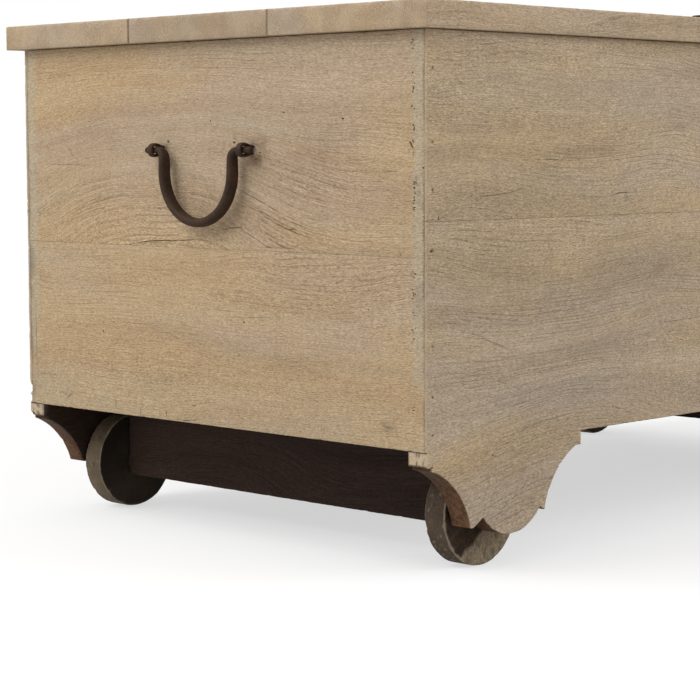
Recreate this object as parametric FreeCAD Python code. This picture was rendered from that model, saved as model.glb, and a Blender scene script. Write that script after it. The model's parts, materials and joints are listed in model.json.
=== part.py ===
import FreeCAD, Part
import math
import os

V = FreeCAD.Vector

# Wheeled plank chest. Millimetres, +Z up, X along the length, front (long side
# with the hasp) towards -Y. The origin is on the floor, under the middle of the
# whole chest. Left is the -X end.

# ---- driving dimensions: the case ----
case_length = 902.0
case_depth = 508.0
case_height = 330.0          # underside of the case to the top edge of its walls
board_t = 21.0               # wall boards, feet included
front_lower_h = 181.0        # underside of the case to the long walls' plank joint
end_lower_h = 153.0          # underside of the case to the end walls' plank joint
rebate_lip = 3.5             # wood of the long walls left outside the end boards
bottom_t = 14.0
bottom_board_count = 3

# ---- driving dimensions: feet, measured from the end and below the case ----
foot_width = 193.0
foot_block_h = 12.0
foot_step_x = 5.0
foot_step_z = 14.8
front_outer_curve = (35.2, 34.3)     # (from the end, below the case)
front_outer_tip = (51.9, 65.9)
front_outer_notch = (67.0, 58.9)
back_outer_curve = (33.3, 35.2)      # the back feet are sawn a little shorter
back_outer_tip = (46.6, 59.2)
back_outer_notch = (61.0, 52.6)
outer_tip_flat = 3.1
lobe_x = 101.5
lobe_z = 76.5
inner_notch_x = 139.0
inner_notch_z = 58.3
inner_tip_x = 145.0
inner_tip_z = 61.9
inner_curve_x = 157.3
inner_curve_z = 35.2
inner_end_x = 186.5

# ---- driving dimensions: wheels, axle pins and cross boards ----
wheel_r = 45.1
wheel_t = 22.0
wheel_arris = 1.2
wheel_inset = 91.1           # case end to the wheel centre
axle_drop = 59.4             # underside of the case to the wheel centre
axle_r = 5.0
axle_in_foot = 14.0
axle_in_board = 34.0
washer_r = 11.0
washer_t = 2.0
wheel_side_play = 0.6
wheel_running_fit = 0.1      # radial, wheel bore on its pin
washer_fit = 0.2             # radial, washer on the pin
cross_board_t = 22.0
cross_board_h = 72.3

# ---- driving dimensions: lid ----
lid_t = 22.0
lid_gap = 0.3
lid_end_overhang = 10.0
lid_front_overhang = 8.0
lid_back_overhang = 14.0
lid_board_count = 3
batten_t = 18.0
batten_w = 60.0
batten_clearance = 5.0       # batten ends to the inside faces of the long walls
batten_inset = 121.0         # case end to the middle of an outer batten

# ---- driving dimensions: lid hinges ----
hinge_inset = 201.0          # case end to the hinge centre
hinge_w = 40.0
hinge_leaf_t = 1.8
hinge_eye_r = 4.0
hinge_pin_r = 2.0
hinge_pin_head_r = 3.2
hinge_pin_head_t = 1.5
hinge_lid_knuckle = 14.0
hinge_knuckle_gap = 0.4
hinge_fit = 0.1              # radial, lid knuckle on the pin
hinge_swing_clearance = 0.4
hinge_lid_leaf = 92.0
hinge_case_leaf = 62.0

# ---- driving dimensions: hasp ----
hasp_w = 36.0
hasp_t = 2.5
hasp_eye_r = 4.0
hasp_pin_r = 2.0
hasp_pin_head_r = 3.2
hasp_pin_head_t = 1.5
hasp_knuckle = 14.0
hasp_knuckle_gap = 0.4
hasp_fit = 0.1
hasp_swing_clearance = 0.4
hasp_edge_gap = 0.3          # hanging strap to the lid's front edge
hasp_plate_length = 62.0
hasp_staple_drop = 30.0      # lid underside to the staple's centre
hasp_tail = 16.0             # strap beyond the end of its slot
hasp_slot_clearance = 1.5
staple_wire_r = 2.0
staple_inner_r = 5.0
staple_reach = 6.0           # strap face to the centre of the staple's bow
staple_depth = 15.0

# ---- driving dimensions: bail handles ----
bail_span = 87.0             # leg centre to leg centre
bail_offset_y = 2.0          # bail centre behind the middle of the end
bail_pivot_h = 237.3         # underside of the case to the pivot
bail_drop = 61.9             # pivot to the centre of the bar at the bottom
bail_half_in_plane = 4.0
bail_half_across = 6.0
bail_elbow_r = 7.0
bail_pin_r = 3.0
bail_pin_end = 67.0          # bail centre to the end of each pin
bail_stand_off = 9.5         # end face to the pivot
eye_spacing = 113.0
eye_half_t = 1.5             # half the strip's thickness
eye_half_w = 3.3             # half the strip's width
eye_fit = 0.4                # radial, bail pin in its eye
eye_depth = 15.0

# ---- driving dimensions: nails ----
nail_r = 1.1
nail_head_r = 1.7
nail_head_t = 0.8
corner_nail_length = 42.0
corner_nail_inset = 6.0
corner_nail_rises = (14.0, 44.0, 84.0, 159.0)    # above the underside of the case
corner_nail_drops = (124.0, 87.0, 30.0)          # below the top edge of the walls
lid_nail_length = 34.0
bottom_nail_length = 45.0
bottom_nail_count = 6
cross_nail_inset = 20.0
batten_nail_count = 6
batten_nail_inset = 15.0
batten_nail_side = 15.0
leaf_nail_length = 16.0
leaf_nail_side = 10.0
leaf_nail_end = 12.0
leaf_nail_pitch = 26.0
hasp_nail_side = 10.0
hasp_nail_first = 18.0       # pin line to the first pair
hasp_nail_end = 10.0         # last pair to the end of the plate

# ---- places worked out from the sizes above ----
case_end = case_length / 2
case_bottom_z = wheel_r + axle_drop
case_top_z = case_bottom_z + case_height
lid_under_z = case_top_z + lid_gap
lid_top_z = lid_under_z + lid_t

strap_face = lid_front_overhang + hasp_edge_gap + hasp_t
staple_bow = strap_face + staple_reach
front_reach = staple_bow + staple_inner_r + 2 * staple_wire_r
back_reach = lid_back_overhang
front_y = front_reach - (case_depth + front_reach + back_reach) / 2
back_y = front_y + case_depth
middle_y = front_y + case_depth / 2
inner_front_y = front_y + board_t
inner_back_y = back_y - board_t

axle_x = case_end - wheel_inset
axle_z = wheel_r
wheel_near = board_t + washer_t + wheel_side_play
cross_end = wheel_near + wheel_t + wheel_side_play + washer_t

bail_y = middle_y + bail_offset_y
bail_pivot_z = case_bottom_z + bail_pivot_h
bail_pivot_x = case_end + bail_stand_off
eye_bend_r = bail_pin_r + eye_fit + eye_half_t

hinge_y = back_y + hinge_eye_r
hinge_z = lid_under_z + hinge_leaf_t - hinge_eye_r
hasp_y = front_y - lid_front_overhang - hasp_edge_gap - hasp_eye_r
hasp_z = lid_top_z + hasp_eye_r
staple_y = front_y - staple_bow
staple_z = lid_under_z - hasp_staple_drop
staple_bend_r = staple_inner_r + staple_wire_r

batten_x = case_end - batten_inset
batten_places = (("left", -batten_x), ("middle", 0), ("right", batten_x))
back_lid_board = "lid_board_%d" % lid_board_count
shapes = {}


# ---- helpers ----
def box(x0, x1, y0, y1, z0, z1):
    return Part.makeBox(x1 - x0, y1 - y0, z1 - z0, V(x0, y0, z0))


def rod(radius, start, end):
    return Part.makeCylinder(radius, start.distanceToPoint(end), start, end - start)


def fused(solids):
    return solids[0].multiFuse(solids[1:]).removeSplitter() if len(solids) > 1 else solids[0]


def nail(head, direction, length):
    """A driven nail: its flat head lies flush with the surface at the point head."""
    neck = head + direction * nail_head_t
    return fused([rod(nail_head_r, head, neck), rod(nail_r, neck, head + direction * length)])


def group(solids):
    return Part.makeCompound(solids)


def drill(names, tools):
    """Takes the shapes of what is driven or let in out of the named pieces."""
    for name in names:
        shapes[name] = shapes[name].cut(tools)


def mirror_x(shape):
    return shape.mirror(V(0, 0, 0), V(1, 0, 0))


def mirror_depth(shape):
    return shape.mirror(V(0, middle_y, 0), V(0, 1, 0))


# ---- case walls ----
def foot(y0, outer_curve, outer_tip, outer_notch):
    """One sawn foot at the left end, hanging below the case in the board's thickness."""
    def at(u, drop):
        return V(u - case_end, y0, case_bottom_z - drop)

    flat_end = at(outer_tip[0] + outer_tip_flat, outer_tip[1])
    outline = [
        Part.LineSegment(at(0, 0), at(0, foot_block_h)),
        Part.LineSegment(at(0, foot_block_h), at(foot_step_x, foot_block_h)),
        Part.LineSegment(at(foot_step_x, foot_block_h), at(foot_step_x, foot_step_z)),
        Part.Arc(at(foot_step_x, foot_step_z), at(*outer_curve), at(*outer_tip)),
        Part.LineSegment(at(*outer_tip), flat_end),
        Part.LineSegment(flat_end, at(*outer_notch)),
        Part.Arc(at(*outer_notch), at(lobe_x, lobe_z), at(inner_notch_x, inner_notch_z)),
        Part.LineSegment(at(inner_notch_x, inner_notch_z), at(inner_tip_x, inner_tip_z)),
        Part.Arc(at(inner_tip_x, inner_tip_z), at(inner_curve_x, inner_curve_z),
                 at(inner_end_x, foot_block_h)),
        Part.LineSegment(at(inner_end_x, foot_block_h), at(foot_width, foot_block_h)),
        Part.LineSegment(at(foot_width, foot_block_h), at(foot_width, 0)),
        Part.LineSegment(at(foot_width, 0), at(0, 0)),
    ]
    wire = Part.Wire([curve.toShape() for curve in outline])
    return Part.Face(wire).extrude(V(0, board_t, 0))


def front_plank(z0, z1):
    """A plank of the front wall, with a rebate behind a thin lip at each end for the end boards."""
    plank = box(-case_end, case_end, front_y, inner_front_y, z0, z1)
    rebate = box(-case_end, -case_end + board_t, front_y + rebate_lip, inner_front_y, z0, z1)
    return plank.cut(group([rebate, mirror_x(rebate)]))


def footed(plank, left_foot):
    return fused([plank, left_foot, mirror_x(left_foot)])


def make_long_walls():
    joint_z = case_bottom_z + front_lower_h
    lower = front_plank(case_bottom_z, joint_z)
    upper = front_plank(joint_z, case_top_z)
    front_foot = foot(front_y, front_outer_curve, front_outer_tip, front_outer_notch)
    back_foot = foot(front_y, back_outer_curve, back_outer_tip, back_outer_notch)
    shapes["front_lower_board"] = footed(lower, front_foot)
    shapes["front_upper_board"] = upper
    shapes["back_lower_board"] = mirror_depth(footed(lower, back_foot))
    shapes["back_upper_board"] = mirror_depth(upper)


def make_end_walls():
    joint_z = case_bottom_z + end_lower_h
    y0 = front_y + rebate_lip
    y1 = back_y - rebate_lip
    for level, z0, z1 in (("lower", case_bottom_z, joint_z), ("upper", joint_z, case_top_z)):
        board = box(-case_end, -case_end + board_t, y0, y1, z0, z1)
        shapes["left_end_%s_board" % level] = board
        shapes["right_end_%s_board" % level] = mirror_x(board)


def make_bottom():
    width = (inner_back_y - inner_front_y) / bottom_board_count
    reach = case_end - board_t
    for i in range(bottom_board_count):
        y0 = inner_front_y + i * width
        board = box(-reach, reach, y0, y0 + width, case_bottom_z, case_bottom_z + bottom_t)
        shapes["bottom_board_%d" % (i + 1)] = board


# ---- running gear ----
def make_running_gear():
    for end, sign in (("left", -1), ("right", 1)):
        x = sign * axle_x
        board = box(x - cross_board_t / 2, x + cross_board_t / 2, front_y + cross_end,
                    back_y - cross_end, case_bottom_z - cross_board_h, case_bottom_z)
        shapes["%s_cross_board" % end] = board
        for side, face_y, inward in (("front", front_y, 1), ("back", back_y, -1)):
            make_wheel_set(end, side, x, face_y, inward)


def make_wheel_set(end, side, x, face_y, inward):
    def at(depth):
        return V(x, face_y + inward * depth, axle_z)

    pin = rod(axle_r, at(board_t - axle_in_foot), at(cross_end + axle_in_board))
    wheel = rod(wheel_r, at(wheel_near), at(wheel_near + wheel_t))
    rims = [edge for edge in wheel.Edges if edge.Curve.TypeId == "Part::GeomCircle"]
    wheel = wheel.makeChamfer(wheel_arris, rims)
    bore = rod(axle_r + wheel_running_fit, at(0), at(cross_end))
    washers = []
    for near in (board_t, cross_end - washer_t):
        disc = rod(washer_r, at(near), at(near + washer_t))
        washers.append(disc.cut(rod(axle_r + washer_fit, at(0), at(cross_end + 1))))
    shapes["%s_%s_axle_pin" % (end, side)] = pin
    shapes["%s_%s_wheel" % (end, side)] = wheel.cut(bore)
    shapes["%s_%s_washers" % (end, side)] = group(washers)
    drill(["%s_lower_board" % side, "%s_cross_board" % end], [pin])


# ---- lid ----
def make_lid():
    reach = case_end + lid_end_overhang
    y0 = front_y - lid_front_overhang
    width = (case_depth + lid_front_overhang + lid_back_overhang) / lid_board_count
    for i in range(lid_board_count):
        start = y0 + i * width
        shapes["lid_board_%d" % (i + 1)] = box(-reach, reach, start, start + width, lid_under_z, lid_top_z)
    for place, x in batten_places:
        shapes["%s_lid_batten" % place] = box(
            x - batten_w / 2, x + batten_w / 2, inner_front_y + batten_clearance,
            inner_back_y - batten_clearance, lid_under_z - batten_t, lid_under_z)


def knuckle_spans(width, middle, gap, head_t):
    """X spans of a three-part knuckle: outer and middle parts, and the room each needs."""
    near = middle / 2 + gap
    end = width / 2
    clear = end + head_t + gap
    outer = [(-end, -near), (near, end)]
    outer_room = [(-clear, -middle / 2), (middle / 2, clear)]
    return outer, [(-middle / 2, middle / 2)], outer_room, [(-near, near)]


def barrel(spans, radius, x, y, z):
    return [rod(radius, V(x + a, y, z), V(x + b, y, z)) for a, b in spans]


def knuckled(plates, spans, room, eye_r, clear_r, x, y, z):
    """A leaf with its own knuckles round the pin line, cut clear of the other leaf's."""
    leaf = fused(plates + barrel(spans, eye_r, x, y, z))
    return leaf.cut(group(barrel(room, clear_r, x, y, z)))


def headed_pin(radius, head_r, head_t, width, x, y, z):
    end = width / 2
    shank = barrel([(-end - head_t, end + head_t)], radius, x, y, z)
    heads = barrel([(-end - head_t, -end), (end, end + head_t)], head_r, x, y, z)
    return fused(shank + heads)


def make_hinge(side, x):
    outer, middle, outer_room, middle_room = knuckle_spans(
        hinge_w, hinge_lid_knuckle, hinge_knuckle_gap, hinge_pin_head_t)
    clear_r = hinge_eye_r + hinge_swing_clearance
    half = hinge_w / 2
    end = outer_room[1][1]
    lid_plate = box(x - half, x + half, hinge_y - hinge_lid_leaf, hinge_y,
                    lid_under_z, lid_under_z + hinge_leaf_t)
    case_plate = box(x - half, x + half, back_y, back_y + hinge_leaf_t,
                     hinge_z - hinge_case_leaf, hinge_z)
    lid_leaf = knuckled([lid_plate], middle, outer_room, hinge_eye_r, clear_r, x, hinge_y, hinge_z)
    case_leaf = knuckled([case_plate], outer, middle_room, hinge_eye_r, clear_r, x, hinge_y, hinge_z)
    pin = headed_pin(hinge_pin_r, hinge_pin_head_r, hinge_pin_head_t, hinge_w, x, hinge_y, hinge_z)
    bore = barrel([(-end, end)], hinge_pin_r + hinge_fit, x, hinge_y, hinge_z)
    recess = box(x - end, x + end, hinge_y - clear_r, hinge_y + clear_r,
                 lid_under_z, hinge_z + clear_r)
    shapes["%s_hinge_lid_leaf" % side] = lid_leaf.cut(group(bore))
    shapes["%s_hinge_case_leaf" % side] = case_leaf.cut(pin)
    shapes["%s_hinge_pin" % side] = pin
    drill([back_lid_board], [fused([lid_plate, recess])])
    make_hinge_nails(side, x)


def make_hinge_nails(side, x):
    low = hinge_z - hinge_case_leaf + leaf_nail_end
    case_nails = []
    lid_nails = []
    for offset in (-leaf_nail_side, leaf_nail_side):
        for z in (low, low + leaf_nail_pitch):
            head = V(x + offset, back_y + hinge_leaf_t, z)
            case_nails.append(nail(head, V(0, -1, 0), leaf_nail_length))
        for inset in (leaf_nail_end, leaf_nail_end + leaf_nail_pitch):
            head = V(x + offset, hinge_y - hinge_lid_leaf + inset, lid_under_z)
            lid_nails.append(nail(head, V(0, 0, 1), leaf_nail_length))
    shapes["%s_hinge_case_nails" % side] = group(case_nails)
    shapes["%s_hinge_lid_nails" % side] = group(lid_nails)
    drill(["%s_hinge_case_leaf" % side, "back_upper_board"], case_nails)
    drill(["%s_hinge_lid_leaf" % side, back_lid_board], lid_nails)


# ---- hasp, drawn folded back over its plate ----
def make_hasp():
    outer, middle, outer_room, middle_room = knuckle_spans(
        hasp_w, hasp_knuckle, hasp_knuckle_gap, hasp_pin_head_t)
    clear_r = math.sqrt(2) * hasp_eye_r + hasp_swing_clearance
    half = hasp_w / 2
    end = outer_room[1][1]
    under = hasp_z + hasp_eye_r - hasp_t
    top = hasp_z + hasp_eye_r
    slot_half = staple_wire_r + hasp_slot_clearance
    slot_middle = hasp_y + hasp_z - staple_z
    slot_reach = staple_bend_r + slot_half
    tip_y = slot_middle + slot_reach + hasp_tail - half
    plate = box(-half, half, hasp_y, hasp_y + hasp_plate_length, lid_top_z, lid_top_z + hasp_t)
    strap = [box(-half, half, hasp_y, tip_y, under, top), rod(half, V(0, tip_y, under), V(0, tip_y, top))]
    plate = knuckled([plate], outer, middle_room, hasp_eye_r, clear_r, 0, hasp_y, hasp_z)
    strap = knuckled(strap, middle, outer_room, hasp_eye_r, clear_r, 0, hasp_y, hasp_z)
    bore = barrel([(-end, end)], hasp_pin_r + hasp_fit, 0, hasp_y, hasp_z)
    slot = box(-slot_half, slot_half, slot_middle - slot_reach, slot_middle + slot_reach, under, top)
    pin = headed_pin(hasp_pin_r, hasp_pin_head_r, hasp_pin_head_t, hasp_w, 0, hasp_y, hasp_z)
    last = hasp_plate_length - hasp_nail_end
    nails = [nail(V(x, hasp_y + inset, lid_top_z + hasp_t), V(0, 0, -1), leaf_nail_length)
             for x in (-hasp_nail_side, hasp_nail_side) for inset in (hasp_nail_first, last)]
    wire = Part.makeCircle(staple_wire_r, V(0, 0, 0), V(0, 1, 0))
    staple = bow(wire, staple_bend_r, V(0, staple_y, staple_z), V(0, 1, 0), staple_bow + staple_depth)
    shapes["hasp_plate"] = plate.cut(pin)
    shapes["hasp_strap"] = strap.cut(group(bore)).cut(slot)
    shapes["hasp_pin"] = pin
    shapes["hasp_nails"] = group(nails)
    shapes["hasp_staple"] = staple
    drill(["hasp_plate", "lid_board_1"], nails)
    drill(["front_upper_board"], [staple])


def bow(section, bend_r, centre, inward, leg):
    """A staple: a half ring about centre, with two straight legs driven inward."""
    top = centre + V(0, 0, bend_r)
    foot_of_bow = centre - V(0, 0, bend_r)
    path = Part.Wire([
        Part.LineSegment(top + inward * leg, top).toShape(),
        Part.Arc(top, centre - inward * bend_r, foot_of_bow).toShape(),
        Part.LineSegment(foot_of_bow, foot_of_bow + inward * leg).toShape(),
    ])
    start = Part.Wire(section.Edges)
    start.translate(top + inward * leg)
    return path.makePipeShell([start], True, False)


# ---- bail handles ----
def make_bails():
    half = bail_span / 2
    leg_top = bail_pivot_z - bail_elbow_r
    curve_z = bail_pivot_z - bail_drop + half

    def at(y, z):
        return V(-bail_pivot_x, bail_y + y, z)

    elbow_mid = bail_elbow_r * (1 - math.sqrt(0.5))
    elbow_y = half + bail_elbow_r
    path = Part.Wire([
        Part.Arc(at(-elbow_y, bail_pivot_z), at(-half - elbow_mid, bail_pivot_z - elbow_mid),
                 at(-half, leg_top)).toShape(),
        Part.LineSegment(at(-half, leg_top), at(-half, curve_z)).toShape(),
        Part.Arc(at(-half, curve_z), at(0, curve_z - half), at(half, curve_z)).toShape(),
        Part.LineSegment(at(half, curve_z), at(half, leg_top)).toShape(),
        Part.Arc(at(half, leg_top), at(half + elbow_mid, bail_pivot_z - elbow_mid),
                 at(elbow_y, bail_pivot_z)).toShape(),
    ])
    start = at(-elbow_y, bail_pivot_z)
    oval = Part.Ellipse(start + V(bail_half_across, 0, 0), start + V(0, 0, bail_half_in_plane), start)
    bar = path.makePipeShell([Part.Wire([oval.toShape()])], True, False)
    pins = [rod(bail_pin_r, at(side * elbow_y - side, bail_pivot_z), at(side * bail_pin_end, bail_pivot_z))
            for side in (-1, 1)]
    bail = fused([bar] + pins)
    corners = ((-1, -1), (1, -1), (1, 1), (-1, 1), (-1, -1))
    strip = Part.makePolygon([V(0, eye_half_w * a, eye_half_t * b) for a, b in corners])
    eyes = [bow(strip, eye_bend_r, at(side * eye_spacing / 2, bail_pivot_z), V(1, 0, 0),
                bail_stand_off + eye_depth) for side in (-1, 1)]
    for end, turn in (("left", None), ("right", mirror_x)):
        placed_eyes = [turn(eye) for eye in eyes] if turn else eyes
        shapes["%s_bail" % end] = turn(bail) if turn else bail
        shapes["%s_bail_eyes" % end] = group(placed_eyes)
        drill(["%s_end_lower_board" % end, "%s_end_upper_board" % end], placed_eyes)


# ---- nails ----
def spread(first, last, count):
    return [first + (last - first) * i / (count - 1) for i in range(count)]


def make_corner_nails():
    heights = [case_bottom_z + rise for rise in corner_nail_rises]
    heights += [case_top_z - drop for drop in corner_nail_drops]
    for end, sign in (("left", -1), ("right", 1)):
        x = sign * (case_end - corner_nail_inset)
        for side, y, inward in (("front", front_y, 1), ("back", back_y, -1)):
            nails = [nail(V(x, y, z), V(0, inward, 0), corner_nail_length) for z in heights]
            shapes["%s_%s_corner_nails" % (end, side)] = group(nails)
            for level in ("lower", "upper"):
                drill(["%s_%s_board" % (side, level), "%s_end_%s_board" % (end, level)], nails)


def make_bottom_nails():
    boards = ["bottom_board_%d" % (i + 1) for i in range(bottom_board_count)]
    first = front_y + cross_end + cross_nail_inset
    last = back_y - cross_end - cross_nail_inset
    for end, x in (("left", -axle_x), ("right", axle_x)):
        nails = [nail(V(x, y, case_bottom_z + bottom_t), V(0, 0, -1), bottom_nail_length)
                 for y in spread(first, last, bottom_nail_count)]
        shapes["%s_bottom_nails" % end] = group(nails)
        drill(boards + ["%s_cross_board" % end], nails)


def make_lid_nails():
    boards = ["lid_board_%d" % (i + 1) for i in range(lid_board_count)]
    first = inner_front_y + batten_clearance + batten_nail_inset
    last = inner_back_y - batten_clearance - batten_nail_inset
    for place, x in batten_places:
        nails = []
        for i, y in enumerate(spread(first, last, batten_nail_count)):
            side = batten_nail_side if i % 2 else -batten_nail_side
            nails.append(nail(V(x + side, y, lid_top_z), V(0, 0, -1), lid_nail_length))
        shapes["%s_lid_nails" % place] = group(nails)
        drill(boards + ["%s_lid_batten" % place], nails)


make_long_walls()
make_end_walls()
make_bottom()
make_running_gear()
make_lid()
for hinge_side, hinge_sign in (("left", -1), ("right", 1)):
    make_hinge(hinge_side, hinge_sign * (case_end - hinge_inset))
make_hasp()
make_bails()
make_corner_nails()
make_bottom_nails()
make_lid_nails()

os.makedirs("parts", exist_ok=True)
for name, shape in shapes.items():
    shape.exportStep("parts/%s.step" % name)
    print(name, len(shape.Solids), round(shape.Volume), shape.isValid())
print("nodes", len(shapes))
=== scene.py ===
import json
import math

import bpy
import bmesh
import numpy as np
from mathutils import Matrix, Vector
from mathutils.geometry import delaunay_2d_cdt

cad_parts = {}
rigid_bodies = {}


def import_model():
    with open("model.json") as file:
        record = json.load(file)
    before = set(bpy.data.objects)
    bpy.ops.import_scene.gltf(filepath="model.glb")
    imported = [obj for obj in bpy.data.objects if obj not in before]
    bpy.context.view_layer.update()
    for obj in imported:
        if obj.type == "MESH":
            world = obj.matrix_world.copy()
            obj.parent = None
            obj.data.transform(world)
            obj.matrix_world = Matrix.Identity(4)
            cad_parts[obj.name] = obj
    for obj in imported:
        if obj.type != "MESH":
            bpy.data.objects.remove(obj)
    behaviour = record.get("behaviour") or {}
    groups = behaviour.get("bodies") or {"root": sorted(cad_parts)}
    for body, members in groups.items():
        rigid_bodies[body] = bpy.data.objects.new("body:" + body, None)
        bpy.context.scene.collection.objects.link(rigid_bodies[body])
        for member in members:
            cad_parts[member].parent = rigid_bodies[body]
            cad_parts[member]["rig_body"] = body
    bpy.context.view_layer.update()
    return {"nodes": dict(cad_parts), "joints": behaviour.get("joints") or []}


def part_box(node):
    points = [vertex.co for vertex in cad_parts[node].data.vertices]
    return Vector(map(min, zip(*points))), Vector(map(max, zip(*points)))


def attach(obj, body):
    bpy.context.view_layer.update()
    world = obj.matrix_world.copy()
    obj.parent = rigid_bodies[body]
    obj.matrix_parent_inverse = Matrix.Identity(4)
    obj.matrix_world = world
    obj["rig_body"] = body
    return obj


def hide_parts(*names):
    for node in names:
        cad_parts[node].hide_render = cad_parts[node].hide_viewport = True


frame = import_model()

MM = 0.001

# ---- places read from the frame, in metres ----
CASE_LO, CASE_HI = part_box("front_lower_board")
CASE_END = CASE_HI.x
FRONT_Y = CASE_LO.y
BACK_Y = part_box("back_lower_board")[1].y
BOARD_T = CASE_HI.y - FRONT_Y
CASE_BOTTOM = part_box("left_end_lower_board")[0].z
CASE_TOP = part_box("front_upper_board")[1].z
FRONT_JOINT = CASE_HI.z
END_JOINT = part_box("left_end_lower_board")[1].z
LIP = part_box("left_end_lower_board")[0].y - FRONT_Y
LID_EDGES = (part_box("lid_board_1")[0].y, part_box("lid_board_3")[1].y)
JOINTS = {joint["name"]: joint for joint in frame["joints"]}
ENDS = ("left", "right")

# ---- camera and light, in metres and degrees ----
CAMERA_PLACE = (-1.6836, -1.3686, 0.3425)
CAMERA_YAW = 45.648          # from +Y towards +X
CAMERA_PITCH = 5.356         # downwards
CAMERA_ROLL = -0.204
CAMERA_LENS = 110.45         # on a 36 mm sensor
SHADOW_FADE = 0.6            # how much of the floor's shade near the chest is lifted to white


# ======== noise and small tools ========
def norm(rows):
    """The length of each row."""
    return np.linalg.norm(rows, axis=-1)


def unit(rows, least=1e-12):
    """Each row brought to length 1."""
    return rows / np.maximum(norm(rows), least)[..., None]


def cross(a, b):
    return a[:, 0] * b[:, 1] - a[:, 1] * b[:, 0]


def steps(loop):
    """From each point of a closed loop to the next."""
    return np.roll(loop, -1, axis=0) - loop


def pairs(loop):
    """Each point of a closed loop with the next."""
    return zip(loop, np.roll(loop, -1, axis=0))


def area(loop):
    """Twice the area inside a loop, negative if it runs clockwise."""
    return float(np.sum(cross(loop, np.roll(loop, -1, axis=0))))


def fade(values, start, reach):
    """0 up to start, then rising to 1 over reach, both in millimetres."""
    return np.clip((values - start * MM) / (reach * MM), 0, 1)


def circle(count):
    angles = np.linspace(0, 2 * math.pi, count + 1)[:-1]
    return np.column_stack([np.cos(angles), np.sin(angles)])


def lattice(cells, seed):
    """A fixed number from 0 to 1 for each whole-number cell."""
    mask = 0xFFFFFFFF
    mixed = (cells[:, 0] * 374761393 + cells[:, 1] * 668265263
             + cells[:, 2] * 974711 + seed * 1442695) & mask
    mixed = ((mixed ^ (mixed >> 13)) * 1274126177) & mask
    mixed = ((mixed ^ (mixed >> 15)) * 668265263) & mask
    return ((mixed ^ (mixed >> 16)) & 0xFFFF) / 65535.0


def lumps(points, size, seed):
    """Smooth noise from -1 to 1 at the points, with lumps about size millimetres across."""
    scaled = np.asarray(points, float) / (size * MM)
    if scaled.shape[1] == 2:
        scaled = np.column_stack([scaled, np.zeros(len(scaled))])
    cell = np.floor(scaled).astype(np.int64)
    part = scaled - cell
    part = part * part * (3 - 2 * part)
    total = np.zeros(len(scaled))
    for corner in np.ndindex(2, 2, 2):
        weight = np.prod(np.where(np.array(corner) == 1, part, 1 - part), axis=1)
        total += weight * lattice(cell + np.array(corner), seed)
    return total * 2 - 1


def dents(points, *layers):
    """Noise from 0 to 1: the sum of layers (size, seed, share), about one half."""
    return 0.5 + 0.5 * sum(share * lumps(points, size, seed) for size, seed, share in layers)


def strips(rows, count, first=0, closed=False, flip=False):
    """Four-cornered faces between rows of count points in rings, numbered on from first."""
    order = (1, 0, 3, 2) if flip else (0, 1, 2, 3)
    faces = []
    for j in range(rows if closed else rows - 1):
        low, high = first + j * count, first + (j + 1) % rows * count
        for i in range(count):
            k = (i + 1) % count
            corners = (low + i, low + k, high + k, high + i)
            faces.append([corners[c] for c in order])
    return faces


def new_object(name, data):
    made = bpy.data.objects.new(name, data)
    bpy.context.scene.collection.objects.link(made)
    return made


FIELDS = {1: ("FLOAT", "value"), 3: ("FLOAT_VECTOR", "vector"), 4: ("FLOAT_COLOR", "color")}


def to_mesh(name, vertices, faces, material, attributes={}, sharp=35):
    """An object from arrays, welded, closed, turned outwards and smooth but for sharp edges."""
    mesh = bpy.data.meshes.new(name)
    mesh.from_pydata([tuple(v) for v in vertices], [], [tuple(int(i) for i in f) for f in faces])
    for key, values in attributes.items():
        kind, field = FIELDS[values.size // len(values)]
        layer = mesh.attributes.new(key, kind, "POINT")
        layer.data.foreach_set(field, values.astype(np.float32).ravel())
    edit = bmesh.new()
    edit.from_mesh(mesh)
    bmesh.ops.remove_doubles(edit, verts=edit.verts, dist=2e-6)
    bmesh.ops.dissolve_degenerate(edit, edges=edit.edges, dist=1e-6)
    slits = [some_edge for some_edge in edit.edges if some_edge.is_boundary]
    if slits:
        bmesh.ops.holes_fill(edit, edges=slits, sides=0)
    if edit.calc_volume(signed=True) < 0:
        bmesh.ops.reverse_faces(edit, faces=edit.faces)
    edit.to_mesh(mesh)
    edit.free()
    mesh.shade_smooth()
    mesh.set_sharp_from_angle(angle=math.radians(sharp))
    mesh.materials.append(material)
    return new_object(name, mesh)


def stand_for(piece, node):
    """The piece takes the CAD node's place and body, and the node is hidden."""
    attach(piece, frame["nodes"][node]["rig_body"])
    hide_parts(node)
    return piece


def welded(node):
    """A CAD node's corners and triangles, with corners at one place counted once."""
    mesh = frame["nodes"][node].data
    mesh.calc_loop_triangles()
    places = np.array([v.co for v in mesh.vertices], float)
    keys, index = np.unique(np.round(places * 1e6).astype(np.int64), axis=0, return_inverse=True)
    triangles = index.ravel()[np.array([t.vertices for t in mesh.loop_triangles])]
    return keys / 1e6, triangles


def flat_loops(node, axis, side):
    """The edge loops of a CAD node's flat face at one end of an axis: outline, then holes."""
    places, triangles = welded(node)
    level = places[:, axis].max() if side > 0 else places[:, axis].min()
    flat = triangles[(np.abs(places[triangles][:, :, axis] - level) < 3e-6).all(axis=1)]
    directed = {(int(a), int(b)) for t in flat for a, b in zip(t, np.roll(t, -1))}
    follow = {a: b for a, b in directed if (b, a) not in directed}
    loops = []
    while follow:
        start, here = follow.popitem()
        ring = [start]
        while here != start:
            ring.append(here)
            here = follow.pop(here)
        loop = np.delete(places[ring], axis, axis=1)
        loops.append(loop if area(loop) > 0 else loop[::-1])
    return sorted(loops, key=area, reverse=True)


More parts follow.
